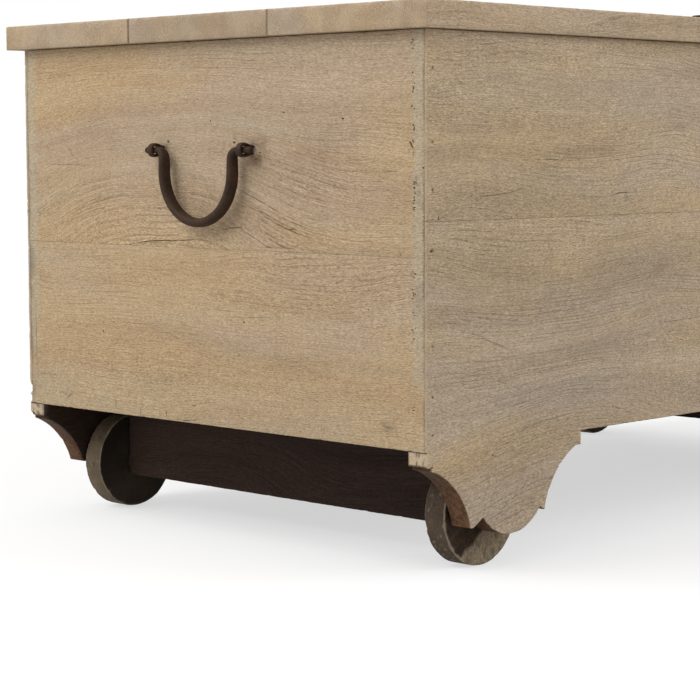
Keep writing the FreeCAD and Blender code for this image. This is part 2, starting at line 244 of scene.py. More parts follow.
def islands(node):
    """The boxes (lowest, highest) of the separate solids in a CAD node."""
    places, triangles = welded(node)
    lowest = np.arange(len(places))
    changed = True
    while changed:
        before = lowest.copy()
        np.minimum.at(lowest, triangles, lowest[triangles].min(axis=1)[:, None])
        changed = (lowest != before).any()
    solids = [places[lowest == i] for i in np.unique(lowest)]
    return [(solid.min(axis=0), solid.max(axis=0)) for solid in solids if len(solid) > 3]


# ======== outlines ========
CORNER_TURN = math.radians(20)
STRAIGHT_TURN = math.radians(0.05)
LONG_RUN = 0.030             # metres: longer stretches of an outline stay straight
SHORT_STEP = 7 * MM


def turns(loop):
    """How sharply the loop turns at each point."""
    after = steps(loop)
    before = np.roll(after, 1, axis=0)
    return np.abs(np.arctan2(cross(before, after), (before * after).sum(axis=1)))


def tidy_loop(loop):
    """The loop without points that lie on a straight stretch."""
    return loop[turns(loop) > STRAIGHT_TURN]


def soften_corners(loop, radius):
    """The loop with each corner cut back to three points of a small round."""
    out = []
    for i, (here, turn) in enumerate(zip(loop, turns(loop))):
        if turn < CORNER_TURN:
            out.append(here)
            continue
        back, on = loop[i - 1] - here, loop[(i + 1) % len(loop)] - here
        reach = min(radius, 0.3 * norm(back), 0.3 * norm(on))
        first, last = here + unit(back) * reach, here + unit(on) * reach
        out.extend([first, 0.35 * here + 0.325 * (first + last), last])
    return np.array(out)


def walk(loop, step):
    """Points about step apart: straight along long runs of the loop, curved through short ones."""
    length, way = norm(steps(loop))[:, None], unit(steps(loop))
    bends = (turns(loop) < CORNER_TURN)[:, None]
    short = length < LONG_RUN
    starts = unit(way + np.roll(way, 1, axis=0) * (bends & short)) * length
    ends = unit(way + np.roll(way, -1, axis=0) * (np.roll(bends, -1, axis=0) & short)) * length
    out = []
    for (a, b), start, end, run in zip(pairs(loop), starts, ends, length[:, 0]):
        parts = max(1, int(round(run / step)))
        for t in (k / parts for k in range(parts)):
            out.append((2 * t**3 - 3 * t**2 + 1) * a + (t**3 - 2 * t**2 + t) * start
                       + (3 * t**2 - 2 * t**3) * b + (t**3 - t**2) * end)
    return np.array(out)


def left_of(ways):
    return np.column_stack([-ways[:, 1], ways[:, 0]])


def inward_normals(loop):
    """For each point of a counter-clockwise loop, the way inwards, longer at a corner."""
    left = left_of(unit(steps(loop)))
    middle = unit(np.roll(left, 1, axis=0) + left, 1e-6)
    return middle / np.maximum((middle * left).sum(axis=1), 0.6)[:, None]


def sharp_corners(loop):
    """The convex corners of a loop: place, inward bisector, and half the angle inside."""
    on = unit(steps(loop))
    back = -np.roll(on, 1, axis=0)
    return [(loop[i], unit(back[i] + on[i]), math.acos(np.clip(back[i] @ on[i], -1, 1)) / 2)
            for i in np.nonzero(cross(on, back) > math.sin(CORNER_TURN))[0]]


def inset(path, normal, amount, corners):
    """The path moved inwards by an amount at each point, gathered to one point in a corner."""
    moved_path = path + normal * amount[:, None]
    for place, middle, half in corners:
        gap = norm(path - place)
        reach = amount[np.argmin(gap)]
        near = gap < max(reach / math.tan(half), 1e-9) * 1.04
        if reach > 1e-7:
            moved_path[near] = place + middle * reach / math.sin(half)
    return moved_path


def calm_near_steps(loop, path, radius):
    """Less wear beside short steps in the outline, so that they keep their shape."""
    lengths, angles = norm(steps(loop)), turns(loop)
    for i in np.nonzero(lengths < SHORT_STEP)[0]:
        k = (i + 1) % len(loop)
        if min(angles[i], angles[k]) >= CORNER_TURN:
            gap = np.minimum(norm(path - loop[i]), norm(path - loop[k]))
            radius = np.minimum(radius, 0.16 * lengths[i] + np.clip(gap - 2 * MM, 0, 1))
    return radius


def from_segment(points, a, b):
    """How far along a segment each point lies, from 0 to 1, and its distance from it."""
    along = b - a
    t = np.clip(((points - a) @ along) / max(along @ along, 1e-18), 0, 1)
    return t, norm(points - a - t[:, None] * along)


def inside_loop(points, loop):
    inside = np.zeros(len(points), bool)
    for a, b in pairs(loop):
        crosses = (a[1] > points[:, 1]) != (b[1] > points[:, 1])
        with np.errstate(divide="ignore", invalid="ignore"):
            x = (b[0] - a[0]) * (points[:, 1] - a[1]) / (b[1] - a[1]) + a[0]
        inside ^= crosses & (points[:, 0] < x)
    return inside


# ======== marks cut into a face ========
# Places are millimetres from the face's own corner: along it, then up from the case's underside.
# Colour channels of a place on a plank, in this order: bare sawn wood; pale filler, and also
# painted light; dirt, and also painted shade; greyed stains; lime with painted light on the blocks'
# end grain:
RAW, FILLER_AND_PAINTED_LIGHT, DIRT_AND_SHADE, GREY, LIME_AND_PAINTED_LIGHT = range(5)
SPLIT_STEP = 1.6 * MM


def crack(points, width, depth, dirt):
    """A split along the points, with its half width and depth."""
    return dict(kind="crack", points=np.array(points) * MM, width=width * MM, depth=depth * MM,
                dirt=dirt)


def pit(u, v, radius, depth, stretch=1.0, dirt=0.9):
    """A small hole; stretch makes it longer along u."""
    return dict(kind="pit", points=np.array([(u, v)]) * MM, radius=radius * MM, depth=depth * MM,
                stretch=stretch, dirt=dirt)


def stain(u, v, reach_u, reach_v, amount, channel):
    """A soft patch of colour; in the channel RAW it is rust brown."""
    return dict(kind="stain", points=np.array([(u, v)]) * MM, amount=amount, channel=channel,
                reach=np.array([reach_u, reach_v]) * MM)


def marks_from(cracks, pits, stains):
    """Marks from rows of numbers: (width, depth, dirt, u, v, u, v ...), or a call's own."""
    return ([crack(np.reshape(row[3:], (-1, 2)), *row[:3]) for row in cracks]
            + [pit(*row) for row in pits] + [stain(*row) for row in stains])


def speckled_line(u, low, high, count, seed, reach=1.0):
    """Small worm holes and short nicks scattered up a line at u, in clusters."""
    rng = np.random.default_rng(seed)
    marks = []
    for _ in range(count):
        v = rng.uniform(low, high)
        for _ in range(rng.integers(1, 4)):
            v = v + rng.uniform(1.2, 3.4)
            place = u + rng.normal(0, reach)
            marks.append(pit(place, min(v, high), rng.uniform(0.45, 0.8), 0.6,
                             rng.uniform(0.7, 1.6), rng.uniform(0.4, 0.85)))
    return marks


def age_marks(seed, low, high, cracks, pits):
    """Seeded splits and worm holes for a face from low to high, in metres."""
    rng = np.random.default_rng(seed)
    marks = []
    size = (np.array(high) - np.array(low)) / MM
    for _ in range(cracks):
        u, v = rng.uniform((0.04, 0.06), (0.9, 0.94)) * size
        length = rng.uniform(12, 60)
        line = [(u, v)]
        for _ in range(3):
            u, v = u + length / 3, v + rng.uniform(-1.2, 1.2)
            line.append((min(u, size[0] - 3), min(max(v, 2), size[1] - 2)))
        marks.append(crack(line, *rng.uniform((0.3, 0.5, 0.5), (0.5, 1.2, 0.9))))
    for _ in range(pits):
        marks.append(pit(*rng.uniform(4, size - 4), rng.uniform(0.5, 0.9), 0.8, rng.uniform(1, 2)))
    return moved(marks, low)


def moved(marks, corner):
    """The marks with their face's corner at a place in metres."""
    return [dict(mark, points=mark["points"] + np.array(corner)) for mark in marks]


def walk_line(points):
    out = []
    for a, b in zip(points, points[1:]):
        parts = max(1, int(round(norm(b - a) / SPLIT_STEP)))
        out.extend(a + (b - a) * k / parts for k in range(parts))
    return np.array(out + [points[-1]])


def mark_points(mark):
    """Extra face points that give a mark its shape, and the edges that join them."""
    if mark["kind"] == "stain":
        return np.zeros((0, 2)), []
    if mark["kind"] == "crack":
        line = walk_line(mark["points"])
        side = left_of(unit(np.gradient(line, axis=0))) * mark["width"]
        edges = [(i, i + 1) for i in range(len(line) - 1)]
        return np.vstack([line, (line + side)[1:-1], (line - side)[1:-1]]), edges
    at, ring = mark["points"][0], circle(8) * (mark["stretch"], 1) * mark["radius"]
    return np.vstack([[at], at + ring * 0.6, at + ring * 1.15]), []


def mark_effect(mark, points):
    """How deep each point is cut by the mark, and how much of its colour it takes."""
    away = points - mark["points"][0]
    if mark["kind"] == "stain":
        ragged = 1 + 0.5 * lumps(points, 7, 5) + 0.3 * lumps(points, 2.5, 6)
        gap = norm(away / mark["reach"]) / ragged
        return 0, np.clip(1 - gap * gap, 0, 1) ** 2 * mark["amount"]
    if mark["kind"] == "crack":
        line = walk_line(mark["points"])
        spans = np.array([from_segment(points, a, b) for a, b in zip(line, line[1:])])
        best = spans[:, 1].argmin(axis=0)
        t, gap = spans[best, :, np.arange(len(points))].T
        where = (best + t) / (len(line) - 1)
        share = (np.clip(1 - gap / mark["width"], 0, 1)
                 * np.sqrt(np.sin(math.pi * np.clip(where, 0.02, 0.98)))
                 * np.clip(0.75 + 0.6 * lumps(points, 4.5, 8), 0.15, 1))
    else:
        gap = norm(away / (mark["stretch"], 1)) / mark["radius"]
        share = np.clip(1.15 - gap, 0, 0.55) / 0.55
    return share * mark["depth"], share * mark["dirt"]


# ======== worn boards ========
ARRIS_ROWS = 3
SEAM_HALF = 1.0 * MM         # how near a seam an edge point counts as part of it
KEEP_OFF = 0.6 * MM          # how near the outline a point inside a face may lie


def arris_radius(loop, base, seed, chips):
    """How far the arris is worn at each point of the outline: uneven, with chips."""
    radius = base * MM * (1.0 + 0.45 * lumps(loop, 9, seed) + 0.25 * lumps(loop, 2.7, seed + 1))
    rng = np.random.default_rng(seed)
    step = norm(steps(loop))
    along = np.concatenate([[0], np.cumsum(step)[:-1]])
    total = step.sum()
    for _ in range(int(total * chips)):
        centre = rng.uniform(0, total)
        reach = rng.uniform(1.2, 5.0) * MM
        size = rng.uniform(0.4, 1.7) * MM
        gap = np.abs((along - centre + total / 2) % total - total / 2) / reach
        radius = radius + size * np.clip(1 - gap * gap, 0, 1) ** 2 * (base > 0.3)
    return np.maximum(radius, 0.12 * MM)


def cap(rings, loop, spacing, marks, rng):
    """Points and faces that fill a ring but for its holes, finer towards the edge and round marks.

    The faces count the rings' points first, then the new ones.
    """
    lo, hi = rings[0].min(axis=0), rings[0].max(axis=0)
    kept = []
    for grid, near, far in ((spacing * 0.5, 1.3 * MM, spacing), (spacing, spacing, 1e9)):
        us, vs = np.arange(lo[0], hi[0], grid), np.arange(lo[1], hi[1], grid)
        cells = np.stack(np.meshgrid(us, vs), axis=-1).reshape(-1, 2)
        cells = cells + rng.uniform(-0.22, 0.22, cells.shape) * grid
        cells = cells[inside_loop(cells, rings[0])]
        gap = np.min([from_segment(cells, a, b)[1] for a, b in pairs(loop)], axis=0)
        kept.append(cells[(gap > max(near, 0.45 * grid)) & (gap <= far)])
    points, ring_points = np.vstack(kept), np.vstack(rings)
    for corner in ring_points:
        points = points[norm(points - corner) > KEEP_OFF]
    for hole in rings[1:]:
        points = points[~inside_loop(points, hole)]

    joins, count, extra = [], 0, []
    for ring in rings:
        joins += [(count + i, count + (i + 1) % len(ring)) for i in range(len(ring))]
        count += len(ring)
    for mark in marks:
        new, edges = mark_points(mark)
        reach = max(mark.get("width", 0), mark.get("radius", 0) * mark.get("stretch", 1)) + 1.2 * MM
        for corner in new:
            points = points[norm(points - corner) > min(reach, 2.2 * MM)]
        extra += list(new)
        joins += [(count + a, count + b) for a, b in edges]
        count += len(new)
    inner = np.vstack(extra + [points])
    places = np.vstack([ring_points, inner])
    made = delaunay_2d_cdt([Vector(p) for p in places], joins, [], 1, 1e-7)
    verts, faces, origins = np.array([tuple(v) for v in made[0]]), made[2], made[3]
    for hole in rings[1:]:
        middles = np.array([verts[list(face)].mean(axis=0) for face in faces])
        faces = [face for face, gone in zip(faces, inside_loop(middles, hole)) if not gone]
    index, fresh = [], []
    for vert, sources in zip(verts, origins):
        index.append(min(sources) if sources else len(places) + len(fresh))
        if not sources:
            fresh.append(vert)
    return np.vstack([inner] + fresh), [[index[i] for i in face] for face in faces]


def at_seam(path, seams):
    """The dirt in the seams (lines u or v = place) at each point, and on the face beside them."""
    dirt, beside = np.zeros((2, len(path)))
    for axis, level, amount in seams:
        on = np.abs(path[:, axis] - level) < SEAM_HALF
        dirt = np.where(on, np.maximum(dirt, amount), dirt)
        beside = np.where(on & (axis == 0), amount * 0.5, beside)
    return dirt, np.maximum(beside, dirt * 0.1)


def bent_grain(uv, hills):
    """How far the grain is bent up at each place of a face, by what the trunk grew round."""
    lift = np.zeros(len(uv))
    for u, v, reach_u, reach_v, height in np.asarray(hills).reshape(-1, 5) * MM:
        lift += height * np.exp(-((uv[:, 0] - u) / reach_u) ** 2 - ((uv[:, 1] - v) / reach_v) ** 2)
    return lift


def split_at(path, level):
    """Puts two points where the path crosses a height, a hair above and below it."""
    out = []
    for a, b in pairs(path):
        out.append(a)
        if (a[1] - level) * (b[1] - level) < 0:
            cross_at = a + (b - a) * (level - a[1]) / (b[1] - a[1])
            hair = np.array([0, math.copysign(0.02 * MM, b[1] - a[1])])
            out.extend([cross_at - hair, cross_at + hair])
    return np.array(out)


def straight(u, v, w):
    return u, v, w


def turned(u, v, w):
    return v, u, w


def board(name, loop, place, thickness, material, seed, grain=straight, arris=0.8, back_arris=0.5,
          chips=25, step=1.8, spacing=5.0, back_spacing=12.0, marks=(), tint=None, lip=None,
          wave=0.22, rough=0.12, bites=(), corner=0.4, row=4.0, seams=(), groove=0.3, holes=(),
          wobble=0.0, hills=None):
    """A worn plank cut to a loop. place(u, v, w) gives coordinates, w running in from the face.

    Sizes are in millimetres except thickness and the loop. grain maps (u, v, w) to the wood's
    own along, across and deep. lip = (depth, low, high): beyond low..high along u the plank is
    only that thick. seams are lines where it meets its neighbour, with arrises worn by groove.
    tint(points) gives values for colour channels. hills bend the grain, five random ones if None.
    """
    rng = np.random.default_rng(seed)
    plain = tidy_loop(loop)
    corners = sharp_corners(plain)
    loop = soften_corners(plain, corner * MM)
    path = walk(loop, step * MM)
    if lip:
        path = split_at(path, CASE_BOTTOM)
    normal = inward_normals(path)
    if wobble:
        path = path + normal * (wobble * MM * dents(path, (24, seed + 11, 1)))[:, None]
    seam, beside_seam = at_seam(path, seams)
    free = np.where(seam > 0, 0.0, 1.0)
    radius = np.where(seam > 0, groove * MM, arris_radius(path, arris, seed, chips))
    back_radius = arris_radius(path, back_arris, seed + 7, chips * 0.5)
    radius, back_radius = (calm_near_steps(plain, path, r) for r in (radius, back_radius))
    rear = path.copy()
    if lip:
        depth, low, high = lip
        above = path[:, 1] > CASE_BOTTOM
        rear[above, 0] = np.clip(path[above, 0], low, high)
        ends = (path[:, 0] < low + 2 * MM) | (path[:, 0] > high - 2 * MM)
        back_radius = np.where(above & ends, 0, back_radius)
        radius = np.minimum(radius, depth * 0.6)

    # rings round the plank, from the face to the back: places, depth and seam dirt
    rows = []
    for j in range(ARRIS_ROWS + 1):
        angle = j / ARRIS_ROWS * math.pi / 2
        rows.append((inset(path, normal, radius * (1 - math.sin(angle)), corners),
                     radius * (1 - math.cos(angle)), seam if j else beside_seam))
    if lip:
        joint = np.where(above, 0.6, 0.0)
        rows += [(path, depth - 0.55 * MM, 0), (path, depth - 0.2 * MM, joint),
                 (rear, depth, joint)]
    start = rows[-1][1]
    count = max(1, int(round((thickness - np.max(start)) / (row * MM))))
    for k in range(1, count + 1):
        rows.append((rear, start + (thickness - back_radius - start) * k / count, seam))
    for j in range(1, ARRIS_ROWS):
        angle = j / (ARRIS_ROWS - 1) * math.pi / 2
        in_by, out_by = back_radius * (1 - math.cos(angle)), back_radius * (1 - math.sin(angle))
        rows.append((inset(rear, normal, in_by, () if lip else corners), thickness - out_by, 0))

    blocks = []          # places, depth, edge wear and seam dirt of each ring and face

    def add(at, *values):
        blocks.append((at, *(np.zeros(len(at)) + value for value in values)))

    for j, (at, depth_row, seam_row) in enumerate(rows):
        on_arris = 0 < j < ARRIS_ROWS or j >= len(rows) - 2
        add(at, depth_row, free * (1.0 if on_arris else 0.12), seam_row)
    size = len(path)
    faces = strips(len(rows), size)
    total = sides = len(rows) * size
    caps = [([rows[0][0]], [0], 0, spacing, marks, -1),
            ([rows[-1][0]], [sides - size], thickness, back_spacing, (), 1)]
    for hole in holes:
        ring = walk(tidy_loop(hole), step * MM)
        outward = -inward_normals(ring)
        lips = ((ring + outward * 0.3 * MM, 0), (ring, 0.3 * MM), (ring, thickness - 0.2 * MM),
                (ring + outward * 0.2 * MM, thickness))
        for at, level in lips:
            add(at, level, 0.6, 0)
        faces += strips(len(lips), len(ring), total, flip=True)
        for (rings, firsts, *_), k in zip(caps, (0, len(lips) - 1)):
            rings.append(lips[k][0])
            firsts.append(total + k * len(ring))
        total += len(lips) * len(ring)
    for rings, firsts, level, gap, cuts, way in caps:
        inner, filled = cap(rings, loop, gap * MM, cuts, rng)
        index = [first + i for ring, first in zip(rings, firsts) for i in range(len(ring))]
        index += range(total, total + len(inner))
        faces += [[index[i] for i in face[::way]] for face in filled]
        add(inner, level, 0, 0)
        total += len(inner)
    uv, w, edge, grime = (np.concatenate(column) for column in zip(*blocks))
    grime = grime * np.clip(0.62 + 0.55 * lumps(uv, 22, seed + 9) + 0.35 * lumps(uv, 5, seed + 10),
                            0.05, 1)

    # a hand-planed face is never quite flat, and sawn edges are rough
    flat = np.column_stack([uv, w])
    waves = dents(flat, (90, seed + 2, 0.7), (31, seed + 3, 0.3))
    w = w + waves * wave * MM * np.clip(1 - 2 * w / thickness, -1, 1)
    sawn = dents(flat * (1, 1, 0.12), (1.9, seed + 4, 1))
    push = np.tile(normal * free[:, None], (len(rows), 1)) * (sawn[:sides] * rough * MM)[:, None]
    push[:size] = push[-size:] = 0
    uv[:sides] += push
    front = np.nonzero(w < thickness * 0.3)[0]
    colours = np.zeros((len(uv), 5))
    for channel, values in (tint(np.column_stack([uv, w])) if tint else {}).items():
        colours[:, channel] = values
    for mark in marks:
        cut, shade = mark_effect(mark, uv[front])
        w[front] += cut
        channel = mark.get("channel", DIRT_AND_SHADE)
        colours[front, channel] = np.maximum(colours[front, channel], shade)
    xyz = np.column_stack(place(uv[:, 0], uv[:, 1], w))
    for centre, reach in bites:
        away = xyz - centre
        gap = norm(away)
        limit = reach * MM * (1 + 0.3 * lumps(xyz, 2.2, seed + 5))
        hit = gap < limit
        xyz[hit] = (centre + away / gap[:, None] * limit[:, None])[hit]
        edge[hit] = np.maximum(edge[hit], 0.6)
    colours[:, DIRT_AND_SHADE] = np.maximum(colours[:, DIRT_AND_SHADE], grime)
    # edge wear, raised by the lime and the painted light on the blocks' end grain
    edge = np.maximum(edge, colours[:, LIME_AND_PAINTED_LIGHT])
    if hills is None:
        low, high = loop.min(axis=0) / MM, loop.max(axis=0) / MM
        hills = [rng.uniform((*low, 60, 30, -26), (*high, 140, 70, 30)) for _ in range(5)]
    wood_at = np.column_stack(grain(uv[:, 0], uv[:, 1], w)) + rng.uniform(-9, 9, 3)
    wood_at[:, 1] -= bent_grain(uv, hills)
    return to_mesh(name, xyz, faces, material,
                   {"grain": wood_at, "tint": colours[:, :4], "edge": edge})


# ======== materials ========
def shade(colour, factor):
    return tuple(c * factor for c in colour)


class Shader:
    """The node tree of one material or world, with a short call for each kind of node."""

    def __init__(self, owner):
        owner.use_nodes = True
        self.owner, self.tree = owner, owner.node_tree

    def put(self, inputs, values):
        for key, value in values.items():
            if isinstance(value, bpy.types.NodeSocket):
                self.tree.links.new(value, inputs[key])
            else:
                inputs[key].default_value = value

    def node(self, kind, values={}, **settings):
        made = self.tree.nodes.new("ShaderNode" + kind)
        for key, value in settings.items():
            setattr(made, key, value)
        self.put(made.inputs, values)
        return made.outputs

    def math(self, operation, a, b=0.0):
        return self.node("Math", {0: a, 1: b}, operation=operation)[0]

    def times(self, a, b):
        return self.math("MULTIPLY", a, b)

    def vector(self, operation, a, b=(0, 0, 0)):
        return self.node("VectorMath", {0: a, 1: b}, operation=operation)[0]

    def noise(self, vector, factors, detail=3.0, roughness=0.55, output=0):
        return self.node("TexNoise", {
            "Vector": self.vector("MULTIPLY", vector, factors), "Scale": 1.0, "Detail": detail,
            "Roughness": roughness})[output]

    def ramp(self, value, low, high, start=0.0, end=1.0):
        """The value stretched so that low..high gives start..end."""
        return self.node("MapRange", {"Value": value, "From Min": low, "From Max": high,
                                      "To Min": start, "To Max": end},
                         interpolation_type="SMOOTHSTEP")["Result"]

    def mix(self, share, first, second, blend="MIX"):
        first, second = ((*c, 1.0) if isinstance(c, tuple) else c for c in (first, second))
        return self.node("Mix", {0: share, 6: first, 7: second}, data_type="RGBA",
                         blend_type=blend)[2]

    def warp(self, vector, factors, reach):
        """The vector pushed about by smooth noise, by up to reach metres."""
        drift = self.noise(vector, factors, 1.5, output=1)
        centred = self.vector("SUBTRACT", drift, (0.5, 0.5, 0.5))
        return self.vector("ADD", vector, self.vector("MULTIPLY", centred, reach))

    def attribute(self, name, output="Fac"):
        return self.node("Attribute", attribute_name=name)[output]

    def surface(self, colour, roughness, specular, relief):
        """The finished look; relief is a height in units of half a millimetre."""
        bump = self.node("Bump", {"Height": relief, "Strength": 0.6, "Distance": 0.0005})[0]
        self.put(self.tree.nodes["Principled BSDF"].inputs, {
            "Base Color": colour, "Roughness": roughness, "Specular IOR Level": specular,
            "Normal": bump})
        return self.owner


def growth_lines(s, drift, across=(6, 300, 210), sharp=(0.55, 0.97), strong_at=(5, 15, 15),
                 broken_at=(7, 330, 330)):
    """Thin lines along the growth rings, side by side as the grain drifts, strong in places."""
    level = s.node("VectorMath", {0: drift, 1: across}, operation="DOT_PRODUCT")["Value"]
    uneven = s.times(s.noise(drift, (3, 34, 34), 1), 5.0)
    line = s.ramp(s.math("FRACT", s.math("ADD", level, uneven)), *sharp)
    strong = s.ramp(s.noise(drift, strong_at, 1), 0.42, 0.62, 0.25, 1.0)
    broken = s.ramp(s.noise(drift, broken_at, 1), 0.40, 0.62, 0.12, 1.0)
    return s.times(line, s.times(strong, broken))


def wood(name, pale, middle, dark, raw, grey, roughness=0.66, contrast=1.0, lime=0.5, hue=0.05,
         fleck=0.26, mottle=0.38, specular=0.10, worn=None):
    """Weathered wood: drifting grain, rings, pores and flecks, with stains and wear, and with
    painted light and painted shade from the tint channels.
    """
    s = Shader(bpy.data.materials.new(name))
    grain = s.attribute("grain", "Vector")
    tint = s.node("SeparateColor", {"Color": s.attribute("tint", "Color")})
    drift = s.warp(grain, (3.4, 8, 8), (0.05, 0.042, 0.034))
    drift = s.warp(drift, (15, 42, 42), (0.006, 0.0050, 0.0050))
    fine = s.warp(drift, (80, 210, 210), (0.002, 0.0012, 0.0012))
    streaks = s.noise(drift, (2.5, 45, 45), 1.5, 0.5)
    patches = s.noise(drift, (3, 18, 18), 2.5, 0.5)
    hues = s.noise(drift, (2.8, 11, 11))
    fibre = s.noise(fine, (30, 900, 900), 1, 0.5)
    pores = s.noise(fine, (170, 1250, 1250), 1.5, 0.5)
    specks = s.noise(grain, (420, 620, 620), 1)
    flecks = s.noise(fine, (320, 2200, 2200), 1, 0.5)
    ripple = s.noise(drift, (210, 60, 60), 2)
    lines = growth_lines(s, drift)
    pale_lines = growth_lines(s, drift, (5, 560, 380), (0.60, 0.95), (6, 20, 20), (9, 390, 390))
    deep = shade(dark, 0.55)

    colour = s.mix(s.ramp(streaks, 0.36, 0.64), pale, middle)
    colour = s.mix(s.ramp(patches, 0.45, 0.72, 0.0, mottle), colour, grey)
    warm = s.mix(s.ramp(hues, 0.36, 0.64), (1 + 0.7 * hue, 1 - 0.1 * hue, 1 - 1.7 * hue),
                 (1 - 0.5 * hue, 1 - 0.2 * hue, 1 + 1.0 * hue))
    colour = s.mix(1.0, colour, warm, "MULTIPLY")
    colour = s.mix(s.times(lines, 0.48 * contrast), colour, dark)
    colour = s.mix(s.times(pale_lines, 0.6), colour, shade(pale, 1.35))
    pored = s.times(s.ramp(pores, 0.58, 0.70, 0.0, 0.34 * contrast),
                    s.ramp(streaks, 0.35, 0.62, 0.35, 1.0))
    colour = s.mix(pored, colour, deep)
    colour = s.mix(s.ramp(specks, 0.76, 0.81, 0.0, 0.45 * contrast), colour, deep)
    filler = s.mix(s.ramp(fibre, 0.35, 0.7), grey, shade(grey, 1.22))
    # the green channel: pale filler, and painted light on the end walls' lowest part and the
    # wheels' faces
    colour = s.mix(s.times(tint["Green"], 0.8), colour, filler)
    glow = tuple(min(1.0, c * 1.18 + 0.015) for c in pale)
    # the edge attribute: worn arrises, and painted light on the blocks' limed end grain
    colour = s.mix(s.times(s.attribute("edge"), 0.45 * lime), colour, worn or glow)
    sawn = s.mix(s.ramp(s.noise(grain, (60, 300, 300), 4), 0.35, 0.7), raw, shade(raw, 0.45))
    colour = s.mix(tint["Red"], colour, sawn)
    tone = s.times(s.ramp(fibre, 0.30, 0.70, 1 + 0.055 * contrast, 1 - 0.065 * contrast),
                   s.ramp(flecks, 0.30, 0.70, 1 - fleck, 1 + fleck))
    tone = s.times(tone, s.ramp(ripple, 0.34, 0.70, 1 - 0.018 * contrast, 1 + 0.022 * contrast))
    colour = s.mix(1.0, colour, tone, "MULTIPLY")
    colour = s.mix(s.attribute("tint", "Alpha"), colour, shade(grey, 0.55))
    # the blue channel: dirt in cracks, seams and pits, and painted shade on the feet, undersides
    # and inner faces
    colour = s.mix(tint["Blue"], colour, (0.014, 0.010, 0.008))

    relief = s.math("ADD", s.times(fibre, -0.8), s.times(flecks, 0.35))
    relief = s.math("SUBTRACT", relief, s.times(pored, 0.9))
    relief = s.math("SUBTRACT", relief, s.times(lines, 0.4))
    rough = s.ramp(fibre, 0.3, 0.8, roughness - 0.07, roughness + 0.10)
    return s.surface(colour, rough, specular, relief)


def iron(name, colour, rust, roughness=0.50, specular=0.09):
    """Old hand-forged iron: dark oxide with rust in its hollows and lighter rubbed places."""
    s = Shader(bpy.data.materials.new(name))
    place = s.node("TexCoord")["Object"]
    broad = s.noise(place, (55, 55, 55), 4, 0.6)
    fine = s.noise(place, (420, 420, 420), 4, 0.65)
    pitted = s.noise(place, (900, 900, 900), 2)
    base = s.mix(s.ramp(fine, 0.35, 0.70), colour, shade(colour, 0.7))
    base = s.mix(s.ramp(broad, 0.48, 0.66, 0.0, 0.6), base, rust)
    base = s.mix(s.ramp(broad, 0.30, 0.42, 0.4, 0.0), base, shade(colour, 1.4))
    base = s.mix(s.ramp(pitted, 0.60, 0.70, 0.0, 0.7), base, shade(colour, 0.3))
    rough = s.ramp(broad, 0.35, 0.70, roughness - 0.10, roughness + 0.20)
    return s.surface(base, rough, specular, s.math("ADD", s.times(fine, 0.6), s.times(pitted, 0.4)))


LIMED = wood("limed_wood", (0.438, 0.328, 0.211), (0.410, 0.295, 0.182), (0.23, 0.145, 0.080),
             (0.172, 0.086, 0.043), (0.38, 0.315, 0.220), contrast=1.1, hue=0.055)
GREYED = wood("greyed_wood", (0.432, 0.334, 0.224), (0.388, 0.297, 0.197), (0.19, 0.135, 0.085),
              (0.172, 0.086, 0.043), (0.34, 0.28, 0.215), contrast=1.2, hue=0.06, lime=0.9,
              fleck=0.31)
LID_WOOD = wood("lid_wood", (0.43, 0.33, 0.225), (0.375, 0.28, 0.185), (0.22, 0.155, 0.10),
                (0.14, 0.078, 0.045), (0.35, 0.29, 0.215))
INNER = wood("inner_wood", (0.36, 0.27, 0.18), (0.30, 0.21, 0.135), (0.17, 0.11, 0.065),
             (0.14, 0.078, 0.045), (0.28, 0.22, 0.16), lime=0.1)
# the cross boards' dark paint, made darker still as painted shade for their place under the chest
DARK = wood("dark_wood", (0.045, 0.028, 0.022), (0.033, 0.020, 0.016), (0.014, 0.009, 0.008),
            (0.02, 0.012, 0.009), (0.014, 0.010, 0.010), roughness=0.72, lime=0.05, specular=0.08)
# the wheels' grey is the painted light on the pale side of their faces, and the worn places of the
# tread
WHEEL_WOOD = wood("wheel_wood", (0.048, 0.029, 0.018), (0.030, 0.018, 0.011),
                  (0.012, 0.007, 0.004), (0.05, 0.03, 0.02), (0.285, 0.222, 0.148),
                  roughness=0.62, contrast=1.2, lime=1.5, fleck=0.36, mottle=0.12, specular=0.06,
                  worn=(0.40, 0.32, 0.23))
IRON = iron("forged_iron", (0.048, 0.029, 0.019), (0.072, 0.036, 0.020))
LIMED_IRON = iron("limed_nails", (0.23, 0.17, 0.115), (0.15, 0.085, 0.05), 0.7, 0.1)


